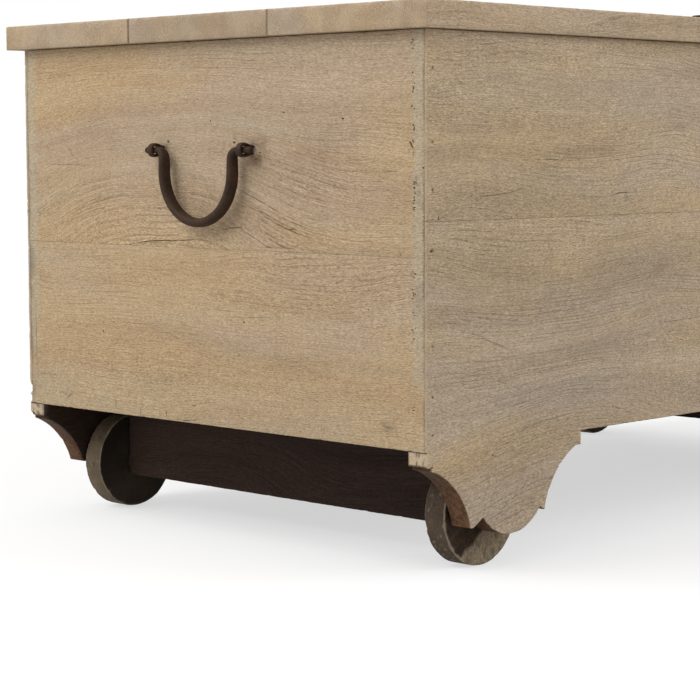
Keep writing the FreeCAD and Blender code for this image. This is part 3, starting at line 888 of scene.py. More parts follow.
# ======== the wooden pieces ========
END_UPPER_MARKS = marks_from(
    [(0.6, 1.3, 0.9, 266, 160.6, 291, 159, 311, 158.5, 331, 157.5, 344.5, 156, 358, 154.4),
     (0.5, 1, 0.9, 213, 172, 224, 171.4, 235, 170),
     (0.5, 1, 0.9, 147, 172.4, 154, 171.4, 164, 172.8),
     (0.4, 0.5, 0.6, 161.4, 176.6, 174, 180, 186.6, 184.8, 200, 188.6, 213.6, 191),
     (0.5, 0.4, 0.45, 416, 223, 440, 224.2, 476, 224),
     (0.4, 0.5, 0.6, 432, 228.6, 438, 232, 441, 237, 447.6, 241),
     (0.8, 1, 0.9, 218.5, 245.6, 221, 248), (0.8, 1.1, 0.9, 191, 240.5, 196, 242, 202, 246),
     (0.4, 0.4, 0.45, 45, 219, 70, 219.4, 105, 221),
     (0.4, 0.4, 0.45, 78, 203.5, 100, 207, 127, 213),
     (1.1, 1.6, 0.9, 16.3, 238.3, 17.5, 241, 19.5, 243.8), (0.9, 1.4, 0.9, 28.7, 153.8, 30, 158),
     (0.4, 0.6, 0.7, 36, 220, 45, 220), (0.4, 0.9, 0.6, 15.6, 231, 14.9, 237),
     (0.8, 1.4, 0.9, 16.6, 239, 17.8, 242.5), (0.5, 0.8, 0.6, 503, 176, 502.4, 190)],
    [(305, 244.8, 1.1, 1), (4.8, 223, 0.9, 0.8), (3.9, 185, 0.8, 0.8), (92, 262, 0.7, 0.7, 2),
     (160, 268, 0.6, 0.6, 2), (250, 262, 0.7, 0.7), (220.5, 243.5, 1, 0.9, 1.6, 0.8),
     (196, 240, 0.9, 0.8, 1.4, 0.8), (189, 235, 0.7, 0.6, 2, 0.6),
     (193.5, 229.5, 0.6, 0.6, 1.5, 0.6), (316, 221, 0.7, 0.6, 1.2, 0.6),
     (303.6, 217.5, 0.6, 0.5, 1, 0.5)],
    [(311, 229, 12, 15, 0.6, RAW), (306, 222, 5, 13, 0.5, DIRT_AND_SHADE), (192, 230, 10, 9, 0.6, RAW),
     (186, 240, 16, 10, 0.4, RAW), (310, 237, 9, 8, 0.6, DIRT_AND_SHADE), (199, 237, 9, 8, 0.6, DIRT_AND_SHADE),
     (120, 236, 60, 30, 0.18, RAW), (400, 250, 60, 25, 0.15, RAW), (240, 190, 60, 22, 0.12, GREY)])
END_LOWER_MARKS = marks_from(
    [(0.6, 1, 0.9, 444.5, 13.7, 450.6, 9.5, 455, 13), (0.5, 1, 0.9, 380.6, 6, 381.4, 12),
     (0.5, 1, 0.9, 346.6, 1.2, 347.2, 5.4), (0.5, 1.1, 0.9, 311.6, 3, 312.4, 10),
     (0.5, 1.2, 0.9, 270, 3.6, 287, 1.6, 299, 1.4), (0.4, 0.8, 0.7, 256, 20, 267, 18, 281, 14),
     (0.45, 0.8, 0.7, 496.4, 44, 497.2, 70, 496.6, 98), (0.4, 0.7, 0.5, 495.6, 30, 496.4, 40),
     (0.35, 0.5, 0.45, 468, 28, 480, 29, 490, 28.4), (0.6, 0.5, 0.5, 38, 14, 45, 17, 51, 19)],
    [(210, 92, 0.7, 0.7, 2), (64, 110, 0.6, 0.6), (398, 74, 0.7, 0.7, 2)],
    [(503, 133, 8, 18, 0.75, GREY), (504, 108, 6, 12, 0.5, GREY), (505, 52, 5, 16, 0.6, GREY),
     (502, 12, 8, 14, 0.5, GREY), (9, 120, 7, 16, 0.4, GREY), (44, 17, 9, 5, 0.35, DIRT_AND_SHADE),
     (150, 60, 60, 24, 0.15, RAW), (330, 30, 90, 18, 0.16, GREY)])
FRONT_UPPER_MARKS = marks_from(
    [(0.4, 0.7, 0.65, 120, 229, 150, 228.6, 189, 227),
     (0.4, 0.7, 0.7, 59, 199.5, 86, 201, 104, 203, 119, 206.5),
     (0.5, 1, 0.85, 232, 198, 244, 199.5, 268, 200), (0.4, 0.8, 0.8, 254, 195, 253, 198.4),
     (0.9, 1.2, 0.9, 14.4, 181.8, 12.6, 183.4, 14, 186), (0.5, 0.7, 0.7, 15.5, 184.2, 20, 184.6)],
    [],
    [(329, 256, 12, 6, 0.35, GREY), (60, 250, 60, 16, 0.15, GREY), (200, 236, 90, 9, 0.14, DIRT_AND_SHADE),
     (120, 205, 170, 30, 0.2, GREY), (200, 285, 220, 22, 0.16, GREY)])
FRONT_LOWER_MARKS = marks_from(
    [(0.35, 0.4, 0.5, 70, 161, 86, 159.6, 101, 157.5), (0.35, 0.4, 0.5, 177, 121, 197, 119),
     (0.35, 0.4, 0.5, 306, 84, 335, 85.6, 364, 86), (0.4, 0.8, 0.7, 237, 16, 246, 14, 255, 12.6),
     (0.35, 0.3, 0.4, 50, 90, 80, 82, 112, 70), (0.35, 0.3, 0.35, 30, 96, 64, 88, 96, 74),
     (0.35, 0.3, 0.35, 40, 60, 80, 52, 130, 36)],
    [(5, 158.6, 1.1, 1, 1.6), (78.5, -9, 0.8, 0.6), (5.4, -11.4, 0.9, 0.8)],
    [(341, 127, 10, 14, 0.35, GREY), (303, 133, 16, 10, 0.25, RAW), (110, -30, 50, 22, 0.12, RAW),
     (90, 140, 140, 50, 0.26, GREY), (270, 135, 160, 42, 0.2, GREY),
     (210, 70, 90, 14, 0.16, GREY)])

# where the grain rises over a knot: along, up, how far it reaches each way, how high
END_UPPER_HILLS = [(265, 195, 100, 75, 45), (400, 195, 95, 75, 34), (90, 250, 60, 30, 6)]
END_LOWER_HILLS = [(330, 60, 80, 32, 9), (120, 90, 110, 40, -8), (430, 40, 60, 24, 7)]
FRONT_UPPER_HILLS = [(60, 210, 70, 30, 10), (210, 190, 90, 36, -7), (330, 240, 80, 40, 8)]
FRONT_LOWER_HILLS = [(210, -20, 130, 70, 34), (90, 120, 110, 50, -12), (300, 100, 90, 30, 6)]


def grain_splits(hills, levels, low, high, seed, dirt=0.6, floor=-80):
    """Shallow splits that follow the bent grain, one at each level of it, from low to high."""
    rng = np.random.default_rng(seed)
    marks = []
    for level in levels:
        start = rng.uniform(low, low + 0.4 * (high - low))
        u = np.linspace(start, rng.uniform(start + 0.3 * (high - low), high), 9)
        base = v = np.full(len(u), level + rng.uniform(-1.2, 1.2))
        for _ in range(20):
            v = base + bent_grain(np.column_stack([u, v]) * MM, hills) / MM
        marks.append(crack(np.column_stack([u, np.maximum(v, floor)]), rng.uniform(0.5, 0.85),
                           rng.uniform(0.2, 0.45), dirt * rng.uniform(0.6, 1.1)))
    return marks


def plank(node_name, axis, side, material, seed, marks=(), nails=(), holes=False,
          thickness=None, prefix="worn_", **extra):
    """A board over a CAD node whose face looks to one side of an axis, with its nails' hollows."""
    lo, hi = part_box(node_name)
    loops = flat_loops(node_name, axis, side)
    level = hi[axis] if side > 0 else lo[axis]
    others = [i for i in range(3) if i != axis]

    def place(u, v, w):
        placed = [u, v]
        placed.insert(axis, level - side * w)
        return placed

    hollows = []
    for low, high in (box for nail in nails for box in islands(nail)):
        at_face = min(abs(low[axis] - level), abs(high[axis] - level)) < 1 * MM
        u, v = ((low + high) / 2)[others]
        if at_face and lo[others[1]] < v < hi[others[1]]:
            hollows.append(pit(u / MM, v / MM, 1.35, 0.5, 1.0, 0.38))
    piece = board(prefix + node_name, loops[0], place, thickness or hi[axis] - lo[axis], material,
                  seed, marks=list(marks) + hollows, holes=loops[1:] if holes else (), **extra)
    return stand_for(piece, node_name)


# the square block over each foot, below the case: its middle and half height, and the depths of
# the drying checks in its end grain
BLOCK_MIDDLE = 5.5 * MM
BLOCK_HALF = 5.9 * MM
BLOCK_CHECKS = (4.2, 9.6, 11.8)
CHECK_HALF = 0.8 * MM
FOOT_SHADE = 48              # how far down the feet's sawn edges are darkened by painted shade under the case, in millimetres
FOOT_NOTCH = 57              # where the notch inside the foot begins, from the case's end; painted shade deepens beyond it
FILLER_BAND = 11.6           # width of the filler band at the ends' edges, in millimetres
PALE_FOOT = 50               # how far up the ends' lowest part is paled by painted light from the floor, in millimetres


def long_wall_tint(points):
    """Bare sawn wood round the feet's edges, darkened by painted shade towards the case, inwards
    and past the notch; painted shade on the feet's inner faces; the block's end grain and the faces
    stay greyed, and the end grain is lightened by painted light.
    """
    x, w, drop = np.abs(points[:, 0]), points[:, 2], CASE_BOTTOM - points[:, 1]
    deep = fade(w, 0.35, 0.5)
    end_grain = (x > CASE_END - 2 * MM) & (np.abs(drop - BLOCK_MIDDLE) < BLOCK_HALF)
    raw = np.where((drop > -0.5 * MM) & ~end_grain, deep * 0.99, 0)
    wander = w + 0.9 * MM * lumps(points[:, :2], 4, 34)
    cracked = np.max([np.exp(-((wander - at * MM) / CHECK_HALF) ** 2) for at in BLOCK_CHECKS],
                     axis=0)
    cracked = 0.85 * cracked * np.clip(0.6 + 1.2 * lumps(points[:, 1:], 3, 35), 0, 1)
    # painted shade: the sawn edges are darker near the case's underside, deeper into the board and
    # past the notch
    painted_edge_shade = 0.52 * (1 - fade(drop, 0, FOOT_SHADE)) + 0.25 * np.clip(w / BOARD_T, 0, 1)
    notch = fade(CASE_END - x, FOOT_NOTCH, 4) * fade(drop, 40, 12)
    painted_edge_shade = np.minimum(painted_edge_shade + 0.4 * notch, 0.8)
    # the checks in the block's end grain are real dirt; on the sawn edges this is painted shade
    dirt = np.where(end_grain & (drop > 0.5 * MM), cracked * deep, painted_edge_shade * raw)
    # painted shade on the inner face of each foot below the case
    foot_inner_shade = fade(drop, 0, 1.2) * fade(w - BOARD_T, -0.9, 0.5)
    dirt = np.maximum(dirt, 0.88 * foot_inner_shade)
    top_of_block = end_grain * (1 - fade(drop, 0, 0.9)) * deep
    # painted light: the block's limed end grain is lightened through the edge wear attribute
    return {RAW: raw, DIRT_AND_SHADE: np.maximum(dirt, top_of_block), LIME_AND_PAINTED_LIGHT: end_grain * 2.0}


def end_wall_tint(points):
    """A pale filler band down each edge of an end wall, where the rebate was made good, and painted
    light paling the wall's lowest part.
    """
    y, rise, on_face = points[:, 0], points[:, 1] - CASE_BOTTOM, points[:, 2] < 3 * MM
    from_edge = np.minimum(y - FRONT_Y - LIP, BACK_Y - LIP - y)
    ragged = 0.8 * MM * lumps(points[:, :2], 9, 71)
    band = fade(ragged - from_edge, -FILLER_BAND, 0.8) * fade(rise, 42, 20)
    # painted light: the lowest part of each end wall is paler
    low_wall_light = 0.45 * (1 - fade(rise, 0, PALE_FOOT)) * (0.8 + 0.4 * lumps(points[:, :2], 30, 73))
    slanted = np.column_stack([y + points[:, 1], points[:, 1] * 3])
    hatched = np.clip(2.2 * lumps(slanted, 3, 72) - 0.4, 0, 0.45)
    hatched = hatched * (1 - fade(np.abs(rise - 210 * MM), 0, 18))
    return {FILLER_AND_PAINTED_LIGHT: np.maximum(band, low_wall_light) * on_face, DIRT_AND_SHADE: band * hatched * on_face}


def long_wall(side, level, seed, marks, **extra):
    front = side == "front"
    reach = CASE_END - BOARD_T
    plank(f"{side}_{level}_board", 1, -1 if front else 1, GREYED, seed, marks,
          [f"{end}_{side}_corner_nails" for end in ENDS], lip=(LIP, -reach, reach),
          tint=long_wall_tint, seams=[(1, FRONT_JOINT, 0.5 if front else 0.85)],
          groove=0.3 if front else 0.7, **extra)


def end_wall(end, level, seed, marks, **extra):
    left = end == "left"
    seams = [(1, END_JOINT, 0.45), (0, FRONT_Y + LIP, 1.0), (0, BACK_Y - LIP, 0.7)]
    plank(f"{end}_end_{level}_board", 0, -1 if left else 1, LIMED, seed, marks,
          tint=end_wall_tint, arris=0.6, seams=seams, groove=0.2 if left else 0.5, **extra)


def make_walls():
    corner = (-CASE_END, CASE_BOTTOM)
    flames = (grain_splits(FRONT_LOWER_HILLS, np.arange(-8, 64, 9), 30, 190, 66, 0.35)
              + grain_splits(FRONT_LOWER_HILLS, np.arange(-44, -14, 7), 56, 130, 69, 0.3))

    def bite(out, y, rise, reach):
        return (-CASE_END - out * MM, y, CASE_BOTTOM + rise * MM), reach

    long_wall("front", "lower", 11, moved(FRONT_LOWER_MARKS + flames, corner), row=1.4,
              hills=moved_hills(FRONT_LOWER_HILLS, corner),
              bites=[bite(1.2, FRONT_Y + 9 * MM, -12.6, 2.2)])
    long_wall("front", "upper", 12, moved(FRONT_UPPER_MARKS, corner),
              hills=moved_hills(FRONT_UPPER_HILLS, corner))
    long_wall("back", "lower", 13, age_marks(13, corner, (CASE_END, FRONT_JOINT), 9, 8),
              spacing=8.0,
              bites=[bite(1.5, BACK_Y - 1 * MM, -12.6, 5.2), bite(1.2, BACK_Y + 1 * MM, 13, 5.5),
                     bite(1.5, BACK_Y + 1.2 * MM, 5, 4.6)])
    long_wall("back", "upper", 14, spacing=8.0,
              marks=age_marks(14, (-CASE_END, FRONT_JOINT), (CASE_END, CASE_TOP), 7, 6))
    corner = (FRONT_Y, CASE_BOTTOM)
    nicks = speckled_line(15, 20, 150, 8, 63)
    end_wall("left", "lower", 21, moved(END_LOWER_MARKS + nicks, corner), chips=45,
             hills=moved_hills(END_LOWER_HILLS, corner))
    flames = (grain_splits(END_UPPER_HILLS, np.arange(137, 172, 3.6), 118, 226, 64, 0.85, 156)
              + grain_splits(END_UPPER_HILLS, np.arange(174, 216, 5.5), 100, 200, 67, 0.5)
              + grain_splits(END_UPPER_HILLS, (149, 156, 165), 236, 290, 65)
              + grain_splits(END_UPPER_HILLS, (150, 158, 163, 171), 330, 440, 68, 0.35))
    nicks = speckled_line(14.2, 176, 212, 9, 61, 0.7) + speckled_line(15.2, 214, 326, 12, 62)
    end_wall("left", "upper", 22, moved(END_UPPER_MARKS + flames + nicks, corner),
             hills=moved_hills(END_UPPER_HILLS, corner))
    end_wall("right", "lower", 23, age_marks(23, corner, (BACK_Y, END_JOINT), 6, 6))
    end_wall("right", "upper", 24, age_marks(24, (FRONT_Y, END_JOINT), (BACK_Y, CASE_TOP), 6, 6))


def moved_hills(hills, corner):
    return np.array(hills) + (corner[0] / MM, corner[1] / MM, 0, 0, 0)


def make_floor_boards():
    lo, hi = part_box("bottom_board_1")

    # painted shade: the undersides of the bottom boards are darkened
    def underside_shade(points):
        return {DIRT_AND_SHADE: 0.8 * fade(points[:, 2] - (hi.z - lo.z), -1.2, 1)}

    for i in (1, 2, 3):
        low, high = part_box(f"bottom_board_{i}")
        plank(f"bottom_board_{i}", 2, 1, INNER, 30 + i, step=4.0, spacing=14.0,
              marks=age_marks(30 + i, low[:2], high[:2], 5, 4), tint=underside_shade,
              nails=[f"{end}_bottom_nails" for end in ENDS])
    for i, end in enumerate(ENDS):
        plank(f"{end}_cross_board", 0, (-1, 1)[i], DARK, 40 + i, step=3.0, spacing=9.0, arris=1.2)


LID_GREY = (0.0, 0.13, 0.05)     # how far each lid board has greyed


def make_lid():
    places = ("left", "middle", "right")
    for i, greyed in enumerate(LID_GREY, 1):
        lo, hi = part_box(f"lid_board_{i}")

        def weathered(points):
            return {GREY: greyed * np.clip(1 + 0.5 * lumps(points, 120, 91), 0, 2)}

        seams = [(1, y, 0.9) for y in (lo.y, hi.y) if min(abs(y - edge) for edge in LID_EDGES) > MM]
        plank(f"lid_board_{i}", 2, 1, LID_WOOD, 50 + i, arris=1.8, back_arris=0.9, spacing=7.0,
              marks=age_marks(50 + i, lo[:2], hi[:2], 7, 9), seams=seams, groove=1.0,
              nails=[f"{place}_lid_nails" for place in places], tint=weathered)
    for i, place in enumerate(places):
        plank(f"{place}_lid_batten", 2, -1, INNER, 60 + i, grain=turned, step=3.0, spacing=10.0)


def make_wheel(node_name, front, seed, split_turn, split_shift, tread_pale):
    """A worn disc whose face is painted pale on one side as painted light and left dark on the
    other as painted shade; the pale side begins split_shift mm from its centre, turned so far.
    """
    lo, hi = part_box(node_name)
    centre, radius, thickness = (lo + hi) / 2, (hi.z - lo.z) / 2, hi.y - lo.y
    loop = circle(120) * radius + (centre.x, centre.z)
    cos, sin = math.cos(math.radians(split_turn)), math.sin(math.radians(split_turn))

    def grain(u, v, w):
        u, v = u - centre.x, v - centre.z
        return u * cos + v * sin, v * cos - u * sin, w

    def place(u, v, w):
        return u, (lo.y + w if front else hi.y - w), v

    def tint(points):
        beside = grain(*points.T)[1] + 0.8 * MM * lumps(points[:, :2], 7, seed + 21)
        # painted light and painted shade: the face is split along a ragged straight line into a
        # pale side and a dark side
        lit_side = fade(-beside, -split_shift, 1)
        tread = fade(points[:, 2], 0.8, 0.6)
        worn = np.clip(4.0 * lumps(points * (1, 1, 0.6), 1.7, seed + 22) - 2.2, 0, 0.8)
        worn = np.maximum(tread_pale * (0.7 + 0.3 * lumps(points, 9, seed)), worn)
        scuffed = np.clip(2.5 * lumps(points * (1, 1, 0.5), 3.2, seed + 23) - 1.4, 0, 0.7)
        mottled = 0.5 * lumps(points, 5, seed + 24) + 0.6 * lumps(points, 2.4, seed + 25)
        dirt = np.where(tread > 0, scuffed * tread, np.clip(mottled, 0, 0.5))
        # painted shade: the inner face of each wheel is darkened almost to black
        wheel_back_shade = fade(points[:, 2] - thickness, -0.5, 0.4)
        return {FILLER_AND_PAINTED_LIGHT: lit_side * (1 - tread) + tread * worn, DIRT_AND_SHADE: np.maximum(0.95 * wheel_back_shade, dirt)}

    rng = np.random.default_rng(seed)
    marks = []
    for _ in range(7):
        angle, near = rng.uniform(0, 2 * math.pi), rng.uniform(6, 26)
        ends = ((near, angle), (near + rng.uniform(6, 14), angle + 0.05))
        marks.append(crack([(r * math.cos(a), r * math.sin(a)) for r, a in ends], 0.3, 0.5, 0.6))
    piece = board("worn_" + node_name, loop, place, thickness, WHEEL_WOOD, seed, grain, arris=1.3,
                  back_arris=1.3, chips=45, step=1.6, spacing=2.4, back_spacing=4.0, tint=tint,
                  rough=0.3, row=1.6, wobble=0.15, hills=(),
                  marks=moved(marks, (centre.x, centre.z)))
    stand_for(piece, node_name)


def make_wheels():
    make_wheel("left_front_wheel", True, 80, 36, -13.3, 0.06)
    make_wheel("left_back_wheel", False, 81, 20, -10, 0.62)
    make_wheel("right_front_wheel", True, 82, 140, 6, 0.15)
    make_wheel("right_back_wheel", False, 83, 100, -4, 0.2)


# ======== the iron pieces ========
UP = np.array([0, 0, 1.0])


def bar(path, halves, seed, rough=0.12, sides=18, flat=2.6, up=(1, 0, 0)):
    """A forged bar along a path. halves gives its half sizes in the plane of the path and across
    it, or one for both, in millimetres, for each point; flat over 2 squares the section."""
    path, halves = np.asarray(path, float), np.array(halves, float).T * MM
    along = unit(np.gradient(path, axis=0))
    across = unit(up - along * (along @ up)[:, None])
    beside = np.cross(along, across)
    ring = circle(sides)
    c, s = (np.sign(ring) * np.abs(ring) ** (2 / flat)).T
    wide, high = np.broadcast_to(halves, (2, len(path)))[..., None]
    points = (path[:, None] + beside[:, None] * (wide * c)[..., None]
              + across[:, None] * (high * s)[..., None]).reshape(-1, 3)
    inward = unit(np.repeat(path, sides, axis=0) - points, 1e-9)
    depth = rough * MM * dents(points, (6.5, seed, 0.6), (2.2, seed + 1, 0.4))
    first_end, last = list(range(sides))[::-1], (len(path) - 1) * sides
    return (points + inward * depth[:, None],
            strips(len(path), sides) + [first_end, list(range(last, last + sides))])


def tube(start, end, outer, inner, seed, rough=0.1, sides=24):
    """A short rolled tube or a washer between two points, radii in millimetres."""
    start, end = np.array(start, float), np.array(end, float)
    along, length = unit(end - start), norm(end - start)
    side = unit(np.cross(along, UP))
    ring = circle(sides) @ np.array([side, np.cross(along, side)])
    arris = min(0.35, 0.2 * (outer - inner), 200 * length)
    low, high = arris * MM, length - arris * MM
    profile = [(inner, low), (inner + arris, 0), (outer - arris, 0), (outer, low),
               (outer, length / 2), (outer, high), (outer - arris, length),
               (inner + arris, length), (inner, high)]
    points = np.vstack([start + along * at + ring * radius * MM for radius, at in profile])
    away = points - start - along * ((points - start) @ along)[:, None]
    depth = np.where(norm(away) > inner * MM * 1.2, dents(points, (2.5, seed, 1)) * rough * MM, 0)
    points = points - unit(away) * depth[:, None]
    return points, strips(len(profile), sides, closed=True)


def joined(name, parts, material):
    """A mesh of several closed shells."""
    points, faces, count = [], [], 0
    for some_points, some_faces in parts:
        points.append(some_points)
        faces += [[count + i for i in face] for face in some_faces]
        count += len(some_points)
    return to_mesh(name, np.vstack(points), faces, material, sharp=50)


def iron_piece(node_name, parts, material=None):
    stand_for(joined("forged_" + node_name, parts, material or IRON), node_name)


def arc(centre, radius, start, end, count, a, b):
    """Points on an arc in the plane of the directions a and b, from start to end in degrees."""
    angles = np.radians(np.linspace(start, end, count))[:, None]
    return list(np.array(centre) + radius * (np.cos(angles) * a + np.sin(angles) * b))


# millimetres; half sizes in the plane of the bail or eye, and across it
BAIL_SPAN = 87.0
BAIL_HALF = 4.0
BAIL_ACROSS = 5.9
BAIL_TOP = (3.6, 4.8)        # near the eyes
BAIL_PIN = 2.9
BAIL_ELBOW = 7.0
EYE_HALF_T = 1.5
EYE_HALF_W = 3.3
EYE_BEND = 4.9
EYE_CLOSING = 2.2            # how far each leg of an eye has bent towards the other at the wall


def make_bail(end, seed):
    node_name = f"{end}_bail"
    lo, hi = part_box(node_name)
    pivot = Vector(JOINTS[node_name + "_swing"]["pos_m"])
    middle, pin_end = (lo.y + hi.y) / 2, (hi.y - lo.y) / 2
    half, elbow = BAIL_SPAN / 2 * MM, BAIL_ELBOW * MM
    bottom = lo.z + BAIL_HALF * MM + half
    plane = (np.array([0, 1.0, 0]), UP)

    def at(y, z):
        return np.array([pivot.x, middle + y, z])

    side = [at(-y, pivot.z) for y in np.linspace(pin_end, half + elbow, 12)[:-1]]
    side += arc(at(-half - elbow, pivot.z - elbow), elbow, 90, 0, 8, *plane)
    side += [at(-half, z) for z in np.linspace(pivot.z - elbow, bottom, 10)[1:-1]]
    curve = arc(at(0, bottom), half, 180, 360, 36, *plane)
    path = np.array(side + curve + [at(middle - y, z) for _, y, z in side[::-1]])
    drop, out = pivot.z - path[:, 2], np.abs(path[:, 1] - middle)
    in_plane = BAIL_TOP[0] + (BAIL_HALF - BAIL_TOP[0]) * fade(drop, 35, 20)
    across = BAIL_TOP[1] + (BAIL_ACROSS - BAIL_TOP[1]) * fade(drop, 0, 20)
    sizes = np.column_stack([in_plane, across])
    sizes = sizes + (BAIL_PIN - sizes) * fade(out - half, 0, BAIL_ELBOW)[:, None]
    blunt = 0.72 + 0.28 * np.sqrt(fade(pin_end - out, 0, 1.6))
    iron_piece(node_name, [bar(path, sizes * blunt[:, None], seed, rough=0.35, sides=20)])


def staple_path(centre, bend, inward, leg, closing=0.0):
    """A half ring about centre with two legs running inward, closing towards each other."""
    inward = np.array(inward, float)
    curve = arc(centre, bend, 90, -90, 19, -inward, UP)
    legs = np.linspace(leg, 0, 15)[:-1]
    close = closing * MM * (1 - np.cos(math.pi * np.minimum(legs / (9 * MM), 1))) / 2
    first = [curve[0] + inward * d - UP * c for d, c in zip(legs, close)]
    last = [curve[-1] + inward * d + UP * c for d, c in zip(legs, close)]
    return np.array(first + curve + last[::-1])


def make_eyes(end, seed):
    node_name = f"{end}_bail_eyes"
    lo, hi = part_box(node_name)
    pivot = Vector(JOINTS[f"{end}_bail_swing"]["pos_m"])
    inward, leg = (1, hi.x - pivot.x) if end == "left" else (-1, pivot.x - lo.x)
    parts = []
    for i, y in enumerate((lo.y + EYE_HALF_W * MM, hi.y - EYE_HALF_W * MM)):
        path = staple_path((pivot.x, y, pivot.z), EYE_BEND * MM, (inward, 0, 0), leg, EYE_CLOSING)
        wide = EYE_HALF_W - 0.3 * dents(path, (8, seed + 3 * i, 1))
        thick = EYE_HALF_T - 0.2 * dents(path, (6, seed + 3 * i + 1, 1))
        parts.append(bar(path, np.column_stack([thick, wide]), seed + 3 * i, rough=0.25, sides=24,
                         flat=3.6, up=(0, 1, 0)))
    iron_piece(node_name, parts)


def driven_nail(lo, hi, axis, head_low, seed, sink):
    """A hand-driven nail with a hammered head, a square shank and a point, inside its own box."""
    rng = np.random.default_rng(seed)
    length = (hi[axis] - lo[axis]) / MM
    head = (lo + hi) / 2
    head[axis] = lo[axis] if head_low else hi[axis]
    way = np.eye(3)[axis] * (1 if head_low else -1)
    aside, other = (axis + 1) % 3, (axis + 2) % 3
    radius = (hi[aside] - lo[aside]) / 2 / MM
    depths, shares = zip((0.0, 0.45), (0.08, 0.66), (0.3, 0.76), (0.8, 0.70), (1.0, 0.56),
                         (1.6, 0.52), (5, 0.52), (length * 0.6, 0.48), (length - 4, 0.36),
                         (length - sink - 0.4, 0.08))
    path = [head + way * (sink + depth) * MM for depth in depths]
    halves = [radius * share * rng.uniform(0.93, 1.0, 2) for share in shares]
    turn = rng.uniform(0, math.pi)
    up = np.eye(3)[aside] * math.cos(turn) + np.eye(3)[other] * math.sin(turn)
    return bar(path, halves, seed, sides=12, flat=2.7, up=up)


def make_nails():
    for index, node_name in enumerate(sorted(frame["nodes"])):
        if not node_name.endswith("_nails"):
            continue
        head_low = "front_corner" in node_name or "hinge_lid" in node_name
        on_iron = "hinge" in node_name or "hasp" in node_name
        parts = [driven_nail(lo, hi, int(np.argmax(hi - lo)), head_low, 700 + 31 * index + i,
                             0.05 if on_iron else 0.25)
                 for i, (lo, hi) in enumerate(islands(node_name))]
        iron_piece(node_name, parts, IRON if on_iron else LIMED_IRON)


def make_axles():
    for stem in ("left_front_", "left_back_", "right_front_", "right_back_"):
        lo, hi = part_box(stem + "axle_pin")
        middle = (lo + hi) / 2
        radius = (hi.z - lo.z) / 2 / MM
        path = [(middle.x, y, middle.z) for y in np.linspace(lo.y, hi.y, 24)]
        sizes = np.full(len(path), radius * 0.99)
        sizes[[0, -1]] *= 0.85
        iron_piece(stem + "axle_pin", [bar(path, sizes, 400, rough=0.15, sides=24, flat=2.1)])
        iron_piece(stem + "washers", [
            tube((middle.x, low[1], middle.z), (middle.x, high[1], middle.z),
                 (high[2] - low[2]) / 2 / MM, radius + 0.1, 410, rough=0.35, sides=28)
            for low, high in islands(stem + "washers")])


# hinges and hasp, in millimetres
LEAF_T = 1.8
HASP_T = 2.5
KNUCKLE_R = 4.0
KNUCKLE_HALF = 7.0           # half the middle knuckle's length
KNUCKLE_GAP = 0.4
PIN_R = 2.0
PIN_HEAD_R = 3.2


def leaf(node_name, axis, side, thickness, pin, inner, seed, holes=False):
    """An iron leaf with its barrels on the pin: the inner one, or the two beside it."""
    plate = plank(node_name, axis, side, IRON, seed, prefix="forged_", thickness=thickness * MM,
                  holes=holes, arris=0.3, back_arris=0.2, chips=0, step=1.6, spacing=3.5,
                  back_spacing=6.0, wave=0.12, rough=0.15, row=1.0, corner=0.6)
    lo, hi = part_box(node_name)
    half, beside = KNUCKLE_HALF * MM, (KNUCKLE_HALF + KNUCKLE_GAP) * MM
    spans = [(lo.x, pin.x - beside), (pin.x + beside, hi.x)]
    if inner:
        spans = [(pin.x - half, pin.x + half)]
    rolls = joined("rolls_" + node_name, [
        tube((a, pin.y, pin.z), (b, pin.y, pin.z), KNUCKLE_R, PIN_R + 0.1, seed + 3)
        for a, b in spans], IRON)
    edit = bmesh.new()
    edit.from_mesh(plate.data)
    edit.from_mesh(rolls.data)
    edit.to_mesh(plate.data)
    edit.free()
    bpy.data.objects.remove(rolls)


def headed_pin(node_name, seed):
    lo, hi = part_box(node_name)
    middle = (lo + hi) / 2
    xs = [lo.x, lo.x + 0.4 * MM, lo.x + 1.4 * MM, lo.x + 1.5 * MM]
    radii = [PIN_HEAD_R * 0.7, PIN_HEAD_R * 0.98, PIN_HEAD_R * 0.95, PIN_R]
    inner = list(np.linspace(xs[-1], 2 * middle.x - xs[-1], 14)[1:-1])
    path = [(x, middle.y, middle.z) for x in xs + inner + [2 * middle.x - x for x in xs[::-1]]]
    sizes = radii + [PIN_R * 0.98] * len(inner) + radii[::-1]
    iron_piece(node_name, [bar(path, sizes, seed, rough=0.1, sides=20, flat=2.1, up=(0, 1, 0))])
    return middle


def make_hinges_and_hasp():
    for i, end in enumerate(ENDS):
        pin = headed_pin(f"{end}_hinge_pin", 500 + i)
        leaf(f"{end}_hinge_lid_leaf", 2, 1, LEAF_T, pin, True, 510 + i)
        leaf(f"{end}_hinge_case_leaf", 1, -1, LEAF_T, pin, False, 520 + i)
    pin = headed_pin("hasp_pin", 530)
    leaf("hasp_plate", 2, -1, HASP_T, pin, False, 540)
    leaf("hasp_strap", 2, 1, HASP_T, pin, True, 550, holes=True)
    lo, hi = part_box("hasp_staple")
    wire = (hi.x - lo.x) / 2
    bend = (hi.z - lo.z) / 2 - wire
    centre = (lo.x + wire, lo.y + wire + bend, (lo.z + hi.z) / 2)
    path = staple_path(centre, bend, (0, 1, 0), hi.y - centre[1])
    iron_piece("hasp_staple", [bar(path, wire / MM * 0.98, 560, rough=0.25, flat=2.3)])


# ======== stage, light and camera ========
MIDDLE = Vector((0, 0, 0.22))        # what the lamps look at
WHITE = (1, 1, 1, 1)


def seen_directly(s):
    """The rays that show the background: the camera's own, and those off a shiny surface."""
    rays = s.node("LightPath")
    return rays, s.math("MAXIMUM", rays["Is Camera Ray"], rays["Is Glossy Ray"])


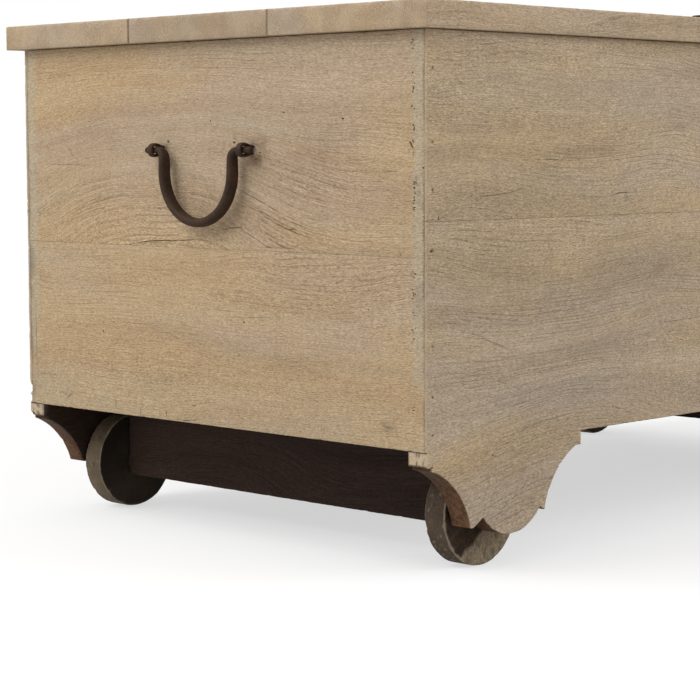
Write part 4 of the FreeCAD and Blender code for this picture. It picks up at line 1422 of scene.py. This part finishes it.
def make_floor():
    edit = bmesh.new()
    bmesh.ops.create_circle(edit, cap_ends=True, radius=14.0, segments=96)
    mesh = bpy.data.meshes.new("floor")
    edit.to_mesh(mesh)
    edit.free()
    floor = new_object("floor", mesh)
    s = Shader(bpy.data.materials.new("floor_white"))
    rays, seen = seen_directly(s)
    s.put(s.tree.nodes["Principled BSDF"].inputs, {
        "Roughness": 0.9, "Specular IOR Level": 0.0,
        "Base Color": s.mix(rays["Is Camera Ray"], (0.60, 0.60, 0.60), (0.97, 0.97, 0.97))})
    place = s.node("TexCoord")["Object"]
    far = s.node("VectorMath", {0: place}, operation="LENGTH")["Value"]
    share = s.times(s.ramp(far, 0.6, 1.6, SHADOW_FADE, 1.0), seen)
    white = s.node("Emission", {"Color": WHITE, "Strength": 1.0})[0]
    blend = s.node("MixShader", {0: share, 1: s.tree.nodes["Principled BSDF"].outputs[0], 2: white})
    s.put(s.tree.nodes["Material Output"].inputs, {"Surface": blend[0]})
    mesh.materials.append(s.owner)


def make_world():
    world = bpy.data.worlds.new("studio")
    bpy.context.scene.world = world
    s = Shader(world)
    rays, seen = seen_directly(s)
    shown = s.math("MAXIMUM", seen, rays["Is Transmission Ray"])
    s.put(s.tree.nodes["Background"].inputs, {
        "Color": WHITE, "Strength": s.ramp(shown, 0.0, 1.0, 0.72, 1.0)})


def make_lamp(name, towards, distance, size, power):
    """A square soft lamp in the given direction from the chest, looking at its middle."""
    direction = Vector(towards).normalized()
    data = bpy.data.lights.new(name, "AREA")
    data.shape = "SQUARE"
    data.size = size
    data.energy = power
    light = new_object(name, data)
    light.location = MIDDLE + direction * distance
    light.rotation_mode = "QUATERNION"
    light.rotation_quaternion = (-direction).to_track_quat("-Z", "Y")


def make_camera():
    data = bpy.data.cameras.new("camera")
    data.sensor_width = 36.0
    data.lens = CAMERA_LENS
    data.clip_start = 0.05
    data.clip_end = 60.0
    camera = new_object("camera", data)
    yaw, pitch, roll = (math.radians(a) for a in (CAMERA_YAW, CAMERA_PITCH, CAMERA_ROLL))
    camera.matrix_world = (Matrix.Translation(CAMERA_PLACE) @ Matrix.Rotation(-yaw, 4, "Z")
                           @ Matrix.Rotation(math.pi / 2 - pitch, 4, "X")
                           @ Matrix.Rotation(roll, 4, "Z"))
    bpy.context.scene.camera = camera


make_camera()
make_world()
make_lamp("key", (-1.0, 0.5, 0.95), 3.2, 1.9, 54)
make_lamp("fill", (0.55, -1.0, 0.6), 3.4, 1.8, 40)
make_floor()
bpy.context.scene.view_settings.view_transform = "Standard"

make_walls()
make_floor_boards()
make_lid()
make_wheels()
for number, end_name in enumerate(ENDS):
    make_bail(end_name, 300 + number * 20)
    make_eyes(end_name, 310 + number * 20)
make_nails()
make_axles()
make_hinges_and_hasp()
